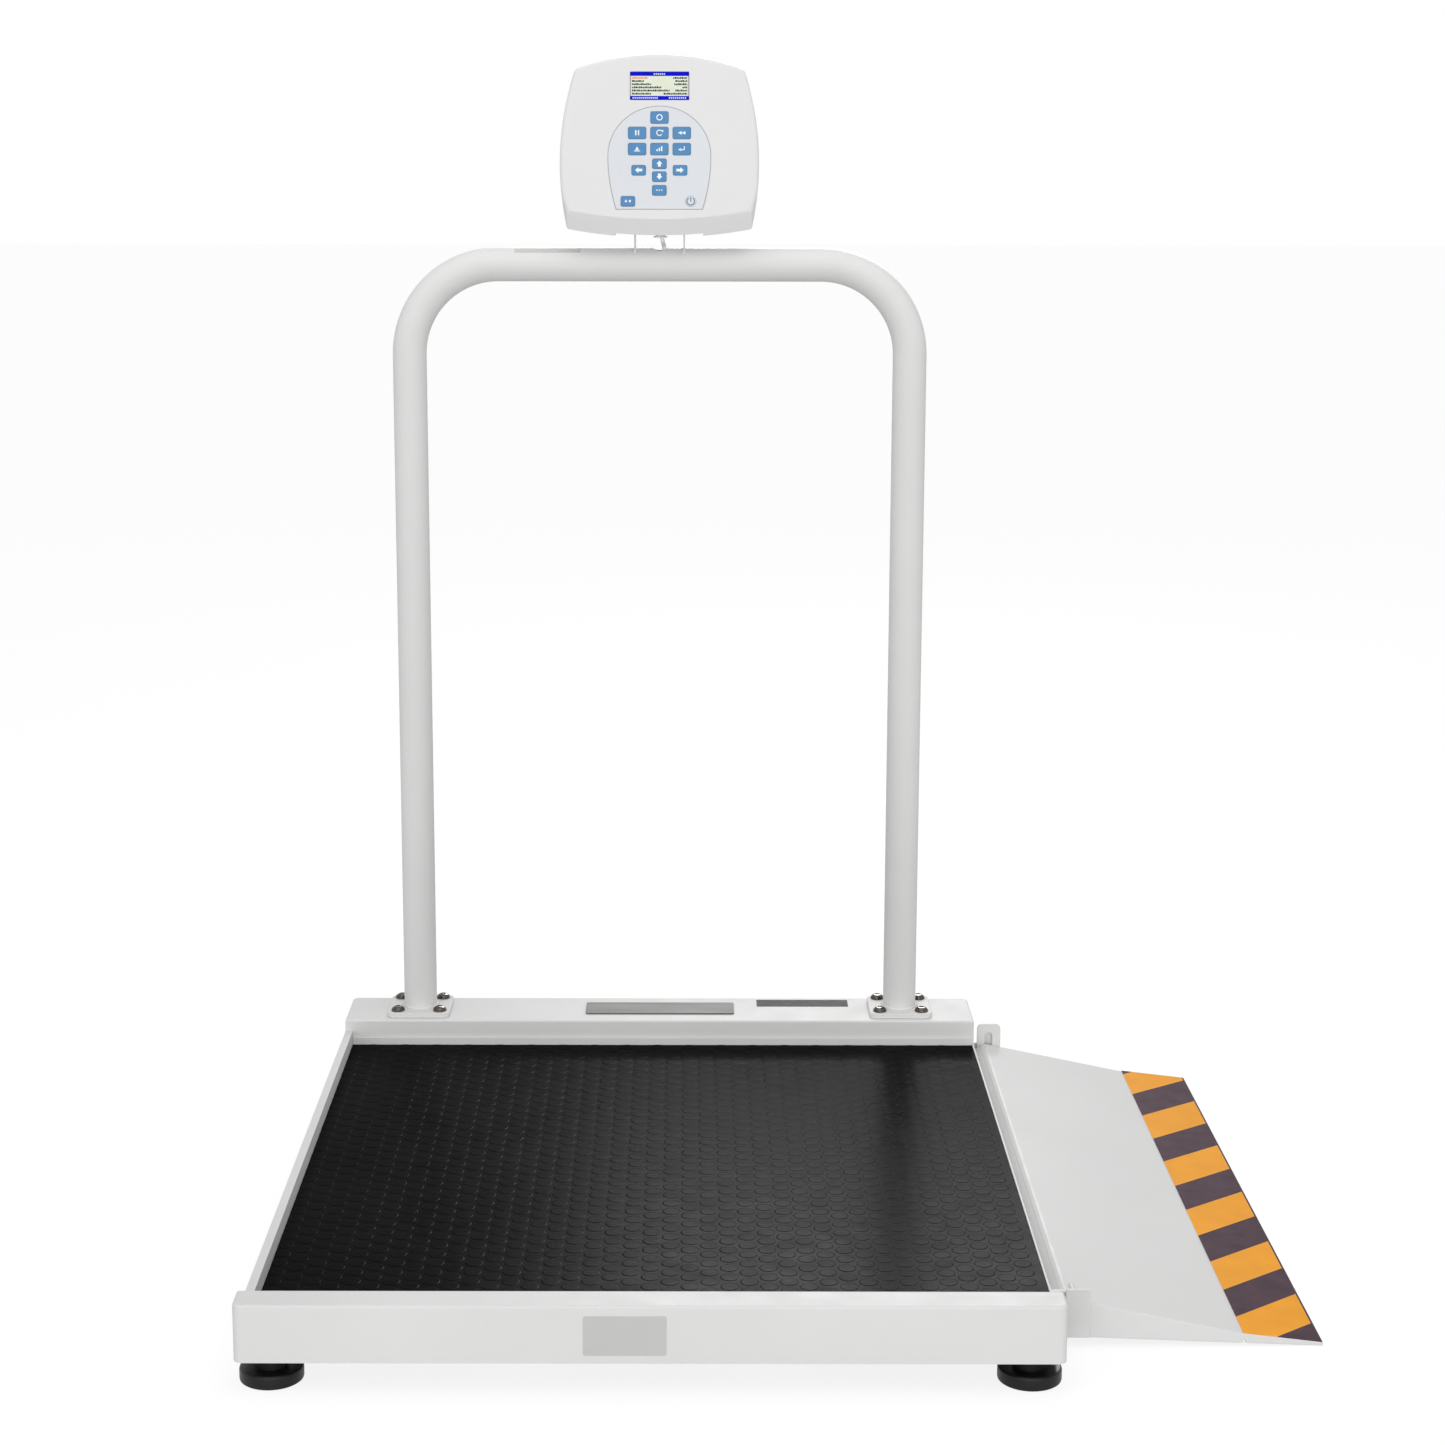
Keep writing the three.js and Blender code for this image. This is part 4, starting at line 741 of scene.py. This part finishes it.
# Head
FACE = -30
SEAM = -13
HEAD_BACK = 20
HEAD_WALL = 2.5
FACE_CENTRE = 74.8
TOP = 117.2
TOP_CORNER = (104.4, 98.2)
WIDEST = 122
LOW_CORNER = (113.5, -99.5)
BOTTOM = -110.5
LOW_SHARE = 0.012
TOP_SHARE = 0.024
CHIN = 20.5
FOOT_LIFT = 3.1
FOOT_INNER = 54
FOOT_SLOPE = 0.27


def curve_point(a, b, c, t):
    """A point at share t of the curve from a to c that leans towards b."""
    return tuple((1 - t) ** 2 * p + 2 * t * (1 - t) * q + t * t * r for p, q, r in zip(a, b, c))


def bowed(a, b, middle, steps, share_a, share_b):
    """A side that bows out through its middle, without the shares its corners take."""
    pull = tuple(2 * m - (p + q) / 2 for p, q, m in zip(a, b, middle))
    return [curve_point(a, pull, b, share_a + (1 - share_a - share_b) * k / steps)
            for k in range(steps + 1)]


def head_outline(steps=26, round_steps=8):
    (tx, ty), (lx, ly) = TOP_CORNER, LOW_CORNER
    corners = [(-lx, ly), (lx, ly), (tx, ty), (-tx, ty)]
    middles = [(0, BOTTOM), (WIDEST, (ty + ly) / 2), (0, TOP), (-WIDEST, (ty + ly) / 2)]
    shares = (LOW_SHARE, LOW_SHARE, TOP_SHARE, TOP_SHARE)
    sides = [bowed(corners[k], corners[(k + 1) % 4], middles[k], steps, shares[k],
                   shares[(k + 1) % 4]) for k in range(4)]
    points = []
    for k, side in enumerate(sides):
        points += side
        corner, after = corners[(k + 1) % 4], sides[(k + 1) % 4][0]
        points += [curve_point(side[-1], corner, after, s / round_steps)
                   for s in range(1, round_steps)]
    return points


OUTLINE = head_outline()


def head_ring(y, in_side, in_top, in_bottom, lift):
    """The head's outline at a depth, drawn in on each side, with its foot lifted."""
    ring = []
    for across, up in OUTLINE:
        in_up = in_top / TOP if up > 0 else -in_bottom / BOTTOM
        share = min(max((-up + LOW_CORNER[1] / 2) / (-LOW_CORNER[1] / 2), 0), 1)
        share = share * share * (3 - 2 * share)
        ring.append((across * (1 - in_side / WIDEST), y,
                     FACE_CENTRE + up * (1 - in_up) + lift * share))
    return ring


FRONT_RINGS = [(FACE, 62, 62, 62, 20.5), (FACE, 34, 30, 22, 20.5), (FACE, 12, 9, 6, 20.5),
               (-29.92, 6.5, 5, 0.6, 20.5), (-29.7, 4.2, 3.4, 0.05, 20.3),
               (-29.3, 2.6, 2.2, 0, 19.6), (-28.6, 1.4, 1.2, 0, 18.4),
               (-27.6, 0.6, 0.6, 0, 16.7), (-26.4, 0.2, 0.2, 0, 14.6),
               (-25, 0, 0, 0, 12.2), (-18.3, 0, 0, 0, 0.5), (-17.9, 0, 0, 0, 0.1),
               (-17.5, 0, 0, 0, 0.15), (SEAM, 0, 0, 0, 1.5)]
BACK_RINGS = smooth_line([
    (SEAM + SEAT, 0, 0, 0, 1.6), (0, 0, 2.4, 0, 5.4), (13, 9, 26, 0, 9),
    (HEAD_BACK, 18, 52, 0, 15),
    (HEAD_BACK, 34, 66, 22, 13), (HEAD_BACK, 62, 80, 52, 13)])


def shell(rings):
    return lofted([head_ring(*ring) for ring in rings])


def inner_front():
    w, floor = HEAD_WALL, HEAD_WALL + FOOT_LIFT
    return lofted([head_ring(*ring) for ring in (
        (FACE + w, 20 + w, 14 + w, 3.5 + floor, CHIN), (-26, 2.4 + w, 2.4 + w, floor, CHIN),
        (-24, 0.8 + w, 0.8 + w, floor, 18), (-21, w, w, floor, 15.7), (-16, w, w, floor, 0),
        (SEAM + 6, w, w, floor, 0))])


def inner_back():
    w, floor = HEAD_WALL, HEAD_WALL + FOOT_LIFT
    return lofted([head_ring(*ring) for ring in (
        (SEAM - 6, w, w, floor, 0), (0, w, w + 2.4, floor, 2.8), (11.7, w + 9, w + 26, floor, 6.4),
        (HEAD_BACK - w, w + 18, w + 52, floor, 13))])


def foot_recess():
    low = FACE_CENTRE + BOTTOM
    end = low + FOOT_LIFT + (LOW_CORNER[1] - BOTTOM) * (FOOT_INNER / LOW_CORNER[0]) ** 2
    crown = 2 * (low + FOOT_LIFT) - end
    line = [(-FOOT_INNER, low - PAST), (FOOT_INNER, low - PAST)]
    for k in range(13):
        t = k / 12
        line.append((FOOT_INNER * (1 - 2 * t), end * (1 - t) ** 2 + 2 * crown * t * (1 - t)
                     + end * t * t))
    mesh = along_y(line, FACE - PAST, HEAD_BACK + PAST)
    for corner in mesh.verts:
        corner.co.z += FOOT_SLOPE * (corner.co.y + 18)
    return mesh


def arch(grow=0.0, steps=40):
    """The keypad panel's outline."""
    wide, low_half = 63.3 + grow, 53.5 + grow
    top, widest_up, bottom = 50.9 + grow, -11.4, -78 - grow
    points = [(wide * math.cos(math.pi * k / steps),
               widest_up + (top - widest_up) * math.sin(math.pi * k / steps))
              for k in range(steps + 1)]
    corner_radius = 1.6
    foot = bottom + corner_radius
    side = []
    for k in range(1, 11):
        share = k / 10
        side.append((low_half + (wide - low_half) * (1 - share ** 2),
                     widest_up + (foot - widest_up) * share))
    corner = []
    for k in range(1, 6):
        turn = math.pi / 2 * k / 6
        corner.append((low_half - corner_radius + corner_radius * math.cos(turn),
                       foot - corner_radius * math.sin(turn)))
    half = side + corner + [(low_half - corner_radius, bottom)]
    points += [(-x, y) for x, y in half] + half[::-1]
    return [(x, FACE_CENTRE + y) for x, y in points]


PANEL_FLOOR = -28.9
WINDOW_UP = FACE_CENTRE + 76.2
WINDOW = rounded(-36.5, 36.5, WINDOW_UP - 18, WINDOW_UP + 18, 1, steps=3)
front_cover = made("front_cover", shell(FRONT_RINGS), HEAD)
combine(front_cover, HEAD, "DIFFERENCE", inner_front(), foot_recess(),
        along_y(WINDOW(), FACE - PAST, FACE + PAST),
        along_y(arch(0.3), FACE - PAST, PANEL_FLOOR),
        along_y(arch(-2.2), FACE - PAST, FACE + PAST))
dress(clean(front_cover), "head", HEAD_WHITE, ["head_front_cover"], sharp=24)

SLOT_HALF = 3
GLAND_X = 1.2
GLAND_Y = 4
SLOT_REACH = 10.4
DOOR = (-52, 52, FACE_CENTRE - 30, FACE_CENTRE + 22, 6)
back_cover = made("back_cover", shell(BACK_RINGS), HEAD)
combine(back_cover, HEAD, "DIFFERENCE", inner_back())
for middle in BRACKETS:
    block = made("boss", shell(BACK_RINGS), HEAD)
    half = SLOT_HALF + HEAD_WALL
    combine(block, HEAD, "INTERSECT", plain_box(
        middle - half, middle + half, SEAM + SEAT, HEAD_BACK - 0.2,
        FACE_CENTRE + BOTTOM + 0.2, SLOT_REACH + HEAD_WALL))
    change = back_cover.modifiers.new("Join", "BOOLEAN")
    change.operation, change.solver, change.object = "UNION", "MANIFOLD", block
    settle(back_cover)
    bpy.data.objects.remove(block)
pin_bore = turned([(4.35, -45), (4.35, 45)], 32)
pin_bore.transform(Matrix.Rotation(math.radians(90), 4, "Y"))
combine(back_cover, HEAD, "DIFFERENCE", foot_recess(),
        *[plain_box(m - SLOT_HALF, m + SLOT_HALF, -SLOT_REACH, HEAD_BACK + PAST, -42, SLOT_REACH)
          for m in BRACKETS], pin_bore,
        turned([(6.35, -42), (6.35, -22)], 32, GLAND_X, GLAND_Y),
        along_y(rounded(*DOOR)(-0.4), 15, 26))
dress(clean(back_cover), "head", HEAD_WHITE, ["head_back_cover"], sharp=24)

dress(made("door", slab(rounded(*DOOR, steps=8), 17.5, HEAD_BACK, top=0.8, steps=3),
           HEAD @ BEHIND), "head", HEAD_WHITE, ["battery_door"])
GRIPS = 5
GRIP_HALF = 11
GRIP_PITCH = 2.6
for rib in range(GRIPS):
    up = FACE_CENTRE + 10 + GRIP_PITCH * rib
    dress(made(f"door_grip_{rib + 1}",
               slab(rounded(-GRIP_HALF, GRIP_HALF, up - 0.6, up + 0.6, 0.55, steps=3),
                    HEAD_BACK - 0.2, HEAD_BACK + 0.45, top=0.4, steps=2), HEAD @ BEHIND),
          "head", HEAD_WHITE)
pin = turned([(3.3, -36.7), (4, -36), (4, 36), (3.3, 36.7)], 32)
pin.transform(Matrix.Rotation(math.radians(90), 4, "Y"))
dress(made("hinge_pin", pin, HEAD), "head", DARK_REFLECTION_STEEL, ["tilt_pin"])
gland = turned([(5, -30.4), (8.2, -30.4), (8.75, -30), (8.75, -29.1), (8.3, -28.7), (6, -28.7),
                (6, -21)], 40, GLAND_X, GLAND_Y)
for corner in gland.verts:
    corner.co.z += FOOT_SLOPE * (corner.co.y - GLAND_Y)
dress(made("gland", gland, HEAD), "head", PALE_PLASTIC, ["cable_gland"])

# Display screen: dark header and footer bars, a pale middle, and rows of plain marks
SCREEN_HALF = 36
SCREEN_LOW = WINDOW_UP - 17.5
SCREEN_TALL = 35
SCREEN_BACK = 20.5
SCREEN_FRONT = 29.5
PRINT_BACK = 29.4
PRINT_FRONT = 29.53
screen = slab(rounded(-SCREEN_HALF, SCREEN_HALF, SCREEN_LOW, SCREEN_LOW + SCREEN_TALL, 0.6,
                      steps=3), SCREEN_BACK, SCREEN_FRONT, top=0.2)
dress(made("screen", screen, HEAD @ FACING), "head", SCREEN, ["lcd_module"])


def print_on_screen(name, rows, finish_used, lift=0.0):
    """Thin printed bars: each is (left, right, low, high), in shares of the screen."""
    mesh = bmesh.new()
    for left, right, low, high in rows:
        bar = slab(rounded(-SCREEN_HALF + 2 * SCREEN_HALF * left,
                           -SCREEN_HALF + 2 * SCREEN_HALF * right,
                           SCREEN_LOW + SCREEN_TALL * low, SCREEN_LOW + SCREEN_TALL * high,
                           0.08, steps=1), PRINT_BACK, PRINT_FRONT + lift)
        data = bpy.data.meshes.new("bar")
        bar.to_mesh(data)
        mesh.from_mesh(data)
        bpy.data.meshes.remove(data)
    dress(made(name, mesh, HEAD @ FACING), "head", finish_used)


print_on_screen("screen_bars", [(0.0, 1.0, 0.855, 1.0), (0.0, 1.0, 0.0, 0.14)], SCREEN_BLUE)
print_on_screen("screen_sides", [(0.0, 0.014, 0.13, 0.86), (0.98, 1.0, 0.13, 0.86)], SCREEN_SIDE)

SCREEN_ROWS = ((0.27, 0.24), (0.2, 0.2), (0.33, 0.22), (0.5, 0.08), (0.64, 0.2), (0.33, 0.4))
ROW_PITCH = 0.113
ROW_TOP = 0.815
ROW_DROP = 0.062
MARK_RUNS = (0.022, 0.031, 0.017, 0.026)
MARK_GAP = 0.006
dark_marks, orange_marks, pale_marks = [], [], []
for index, (left_share, right_share) in enumerate(SCREEN_ROWS):
    low = ROW_TOP - ROW_PITCH * index - ROW_DROP
    for start, length in ((0.03, left_share), (0.97 - right_share, right_share)):
        left = start
        step = 0
        while left < start + length:
            run = MARK_RUNS[(step + index) % 4]
            right = min(left + run, start + length)
            tall = 0.066 if (step + index) % 3 else 0.05
            marks = orange_marks if index == 0 and start < 0.5 else dark_marks
            marks.append((left, right, low, low + tall))
            left += run + MARK_GAP
            step += 1
for start, length, low in ((0.4, 0.2, 0.9), (0.04, 0.42, 0.045), (0.66, 0.3, 0.045)):
    left = start
    while left < start + length:
        pale_marks.append((left, left + 0.022, low, low + 0.05))
        left += 0.034
print_on_screen("screen_rows", dark_marks, MARK_DARK)
print_on_screen("screen_chosen_row", orange_marks, SCREEN_ORANGE)
print_on_screen("screen_pale_marks", pale_marks, SCREEN, 0.05)

# Keypad panel with a thin dark ring round its edge, and the keys
WIDE_KEY = (21.9, 15)
SMALL_KEY = (17.2, 12.6)
KEYS = {
    "zero": (0, 36.5, *WIDE_KEY), "hold": (-27.4, 17.2, *WIDE_KEY),
    "reweigh": (0, 17.2, *WIDE_KEY), "recall": (27.4, 17.2, *WIDE_KEY),
    "tare": (-27.4, -2.9, *WIDE_KEY), "index": (0, -2.9, *WIDE_KEY),
    "enter": (27.4, -2.9, *WIDE_KEY), "up": (0, -21.2, *SMALL_KEY),
    "left": (-25.4, -29.3, *SMALL_KEY), "right": (25.4, -29.3, *SMALL_KEY),
    "down": (0, -37.3, *SMALL_KEY), "help": (0, -54.3, *SMALL_KEY),
    "unit": (-38.5, -68, *SMALL_KEY),
}
POWER = (38.5, FACE_CENTRE - 68, 6.5)
KEY_GAP = 0.35
KEY_CORNER = 2.2
KEY_FRONT = 30.8
KEY_BACK = 21.35
PANEL_BACK = 29.2
PANEL_FRONT = 30.1


def key_outline(across, up, width, height, grow=0.0):
    return rounded(across - width / 2 - grow, across + width / 2 + grow,
                   FACE_CENTRE + up - height / 2 - grow, FACE_CENTRE + up + height / 2 + grow,
                   KEY_CORNER + grow, steps=6)


holes = [key_outline(*key, KEY_GAP)() for key in KEYS.values()]
holes.append(disc(POWER[0], POWER[1], POWER[2] + KEY_GAP)())
panel = made("keypad", prism(arch(), PANEL_BACK, PANEL_FRONT, holes), HEAD @ FACING)
dress(panel, "head", PANEL, ["keypad_panel"])
edge = made("keypad_edge", prism(arch(0.02), 29.95, 30.14, [arch(-0.6)]), HEAD @ FACING)
dress(edge, "head", PANEL_EDGE)
for name, key in KEYS.items():
    cap = made(f"cap_{name}", slab(key_outline(*key), KEY_BACK, KEY_FRONT, top=0.4),
               HEAD @ FACING)
    dress(cap, f"key_{name}_body", KEY_BLUE, [f"key_{name}"])


def arrow(length, head, half_head, half_stem):
    tip = length / 2
    return [(-tip, -half_stem), (tip - head, -half_stem), (tip - head, -half_head), (tip, 0),
            (tip - head, half_head), (tip - head, half_stem), (-tip, half_stem)]


def turned_to(points, degrees, x, y):
    c, n = math.cos(math.radians(degrees)), math.sin(math.radians(degrees))
    return [(x + c * a - n * b, y + n * a + c * b) for a, b in points]


def bar_mark(x, y, width, height):
    return rounded(x - width / 2, x + width / 2, y - height / 2, y + height / 2, 0.3, steps=2)()


def wedge(x, y, degrees, size=2.0):
    """A filled triangle that points along the angle."""
    return turned_to([(-size, -size), (size, 0), (-size, size)], degrees, x, y)


def arc_mark(radius, thick, start, sweep):
    turns = [math.radians(start + sweep * k / 24) for k in range(25)]
    outer = [(radius * math.cos(a), radius * math.sin(a)) for a in turns]
    return outer + [((radius - thick) * math.cos(a), (radius - thick) * math.sin(a))
                    for a in turns[::-1]]


# Plain signs on the keys: each is one or more outlines
SIGNS = {
    "up": [turned_to(arrow(7.4, 4, 3.6, 1.7), 90, 0, 0)],
    "down": [turned_to(arrow(7.4, 4, 3.6, 1.7), 270, 0, 0)],
    "left": [turned_to(arrow(9, 4.2, 3.6, 1.6), 180, 0, 0)],
    "right": [arrow(9, 4.2, 3.6, 1.6)],
    "zero": [arc_mark(3.9, 1.2, 0, 359)],
    "hold": [bar_mark(-1.7, 0, 1.6, 6.4), bar_mark(1.7, 0, 1.6, 6.4)],
    "reweigh": [arc_mark(3.9, 1.1, 50, 280), wedge(3.3, 2.6, 130, 1.5)],
    "recall": [wedge(-2.4, 0, 180, 2.3), wedge(2.2, 0, 180, 2.3)],
    "tare": [wedge(0, 0.9, 90, 2.3), bar_mark(0, -2.6, 7.6, 1.1)],
    "index": [bar_mark(-2.8, -1.6, 1.6, 2.4), bar_mark(0, -0.7, 1.6, 4.2),
              bar_mark(2.8, 0.3, 1.6, 6.2)],
    "enter": [bar_mark(0.8, -0.9, 5.2, 1.2), bar_mark(3.1, 0.9, 1.2, 4.6),
              wedge(-2.6, -0.9, 180, 1.9)],
    "help": [bar_mark(-3, 0, 1.5, 1.5), bar_mark(0, 0, 1.5, 1.5), bar_mark(3, 0, 1.5, 1.5)],
    "unit": [wedge(-2.4, 0.6, 90, 1.7), wedge(2.4, -0.6, 270, 1.7)],
}
for name, outlines in SIGNS.items():
    across, up, *_ = KEYS[name]
    for index, outline in enumerate(outlines, 1):
        spot = [(across + x, FACE_CENTRE + up + y) for x, y in outline]
        dress(made(f"sign_{name}_{index}", prism(spot, KEY_FRONT - 0.1, KEY_FRONT + 0.05),
                   HEAD @ FACING), f"key_{name}_body", GLYPH)

power_x, power_up, power_radius = POWER
POWER_FRONT = 30.35
POWER_SIGN = (30.25, 30.4)
dress(made("power_cap", slab(disc(power_x, power_up, power_radius, 48), KEY_BACK, POWER_FRONT,
                             top=0.2),
           HEAD @ FACING), "key_power_body", PANEL, ["key_power"])
RING = (5.2, 4.0)
ring_turns = [math.radians(90 + 32 + (360 - 64) * k / 40) for k in range(41)]
ring = [(power_x + RING[0] * math.cos(a), power_up + RING[0] * math.sin(a)) for a in ring_turns]
ring += [(power_x + RING[1] * math.cos(a), power_up + RING[1] * math.sin(a))
         for a in ring_turns[::-1]]
dress(made("power_ring", prism(ring, *POWER_SIGN), HEAD @ FACING), "key_power_body", MARK_BLUE)
bar = rounded(power_x - 0.62, power_x + 0.62, power_up - 0.4, power_up + 5.6, 0.6, steps=4)
dress(made("power_bar", prism(bar(), *POWER_SIGN), HEAD @ FACING), "key_power_body", MARK_BLUE)

# Display cable: from the gland into the bar, along it and down the right post
CABLE_RADIUS = 2.6
IN_BAR = 1050.8  # height of the cable's middle inside the bar
IN_BOX = 74.5  # and inside the rear housing
to_platform = PLATFORM.inverted() @ HEAD
gland_mouth = to_platform @ Vector((2.6, 4, -27))
straight_out = to_platform @ Vector((3.8, 4.2, -34))
route = [gland_mouth, straight_out, (5.2, 928.8, 1080), (6.4, 928.8, 1073), (9.4, 930.6, 1064),
         (15, 932.6, 1056),
         *[(x, RAIL_MIDDLE, IN_BAR) for x in (27, 60, POSTS - BEND)], *bend(1, 8)[::-1],
         *[(POSTS, RAIL_MIDDLE, z) for z in (800, 528, 300, 105, 89.5)],
         *[(x, RAIL_MIDDLE, IN_BOX) for x in (298, 260, 230, 200.3)]]
cable = made("cable", lofted(tube_rings(through(route, 8), CABLE_RADIUS, 20)), PLATFORM)
dress(cable, None, CABLE, ["display_cable"])
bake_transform(cable)

# Floor, light and surroundings
FLOOR_REACH = 30
FLOOR_GREY = 0.68
GLOW = 1.14  # strength of the white that the camera sees of the floor
GLOW_SHARE = 0.75
AMBIENT = 0.62


def seen_directly(tree):
    """1 for what the camera sees, also in a reflection or through a clear piece, otherwise 0."""
    rays = shade(tree, "ShaderNodeLightPath")
    seen = shade(tree, "ShaderNodeMath", {0: rays.outputs["Is Camera Ray"],
                                          1: rays.outputs["Is Glossy Ray"]}, operation="MAXIMUM")
    seen = shade(tree, "ShaderNodeMath", {0: seen.outputs[0],
                                          1: rays.outputs["Is Transmission Ray"]},
                 operation="MAXIMUM")
    return seen.outputs[0]


floor_mesh = bmesh.new()
corners = [floor_mesh.verts.new((x * FLOOR_REACH, y * FLOOR_REACH, 0))
           for x, y in ((-1, -1), (1, -1), (1, 1), (-1, 1))]
floor_mesh.faces.new(corners)
floor = made("floor", floor_mesh, Matrix.Identity(4))
floor_material = bpy.data.materials.new("floor_pale")
floor_material.use_nodes = True
tree = floor_material.node_tree
output = tree.nodes["Material Output"]
principled = tree.nodes["Principled BSDF"]
principled.inputs["Base Color"].default_value = (FLOOR_GREY, FLOOR_GREY, FLOOR_GREY, 1)
principled.inputs["Roughness"].default_value = 0.8
share = shade(tree, "ShaderNodeMath", {0: seen_directly(tree), 1: GLOW_SHARE},
              operation="MULTIPLY")
glow = shade(tree, "ShaderNodeEmission", {"Color": (1, 1, 1, 1), "Strength": GLOW})
mixed = shade(tree, "ShaderNodeMixShader", {0: share.outputs[0], 1: principled.outputs[0],
                                            2: glow.outputs[0]})
tree.links.new(mixed.outputs[0], output.inputs["Surface"])
floor.data.materials.append(floor_material)

world = bpy.data.worlds.new("studio")
bpy.context.scene.world = world
world.use_nodes = True
tree = world.node_tree
background = tree.nodes["Background"]
level = shade(tree, "ShaderNodeMapRange", {"Value": seen_directly(tree), "To Min": AMBIENT,
                                           "To Max": 1.0})
tree.links.new(level.outputs["Result"], background.inputs["Strength"])
background.inputs["Color"].default_value = (1, 1, 1, 1)


def lamp(name, place, aim, size, watts):
    """A flat lamp that faces its aim and isn't itself seen."""
    data = bpy.data.lights.new(name, "AREA")
    data.shape = "RECTANGLE"
    data.size, data.size_y = size
    data.energy = watts
    obj = bpy.data.objects.new(name, data)
    bpy.context.scene.collection.objects.link(obj)
    obj.location = place
    obj.visible_camera = False
    obj.rotation_euler = (Vector(aim) - Vector(place)).to_track_quat("-Z", "Y").to_euler()
    return obj


lamp("lamp_top", (-0.2, -0.6, 3.4), (-0.1, 0, 0.3), (2.8, 2.8), 28)
for name, side in (("lamp_left", -1), ("lamp_right", 1)):
    lamp(name, (3.2 * side, -11.4, 1.1), (-0.1, 0, 0.6), (5.2, 2.6), 268)
lamp("lamp_back", (0.5, 4.2, 2.75), (0.0, 0, 0.2), (1.8, 1.7), 290).visible_diffuse = False
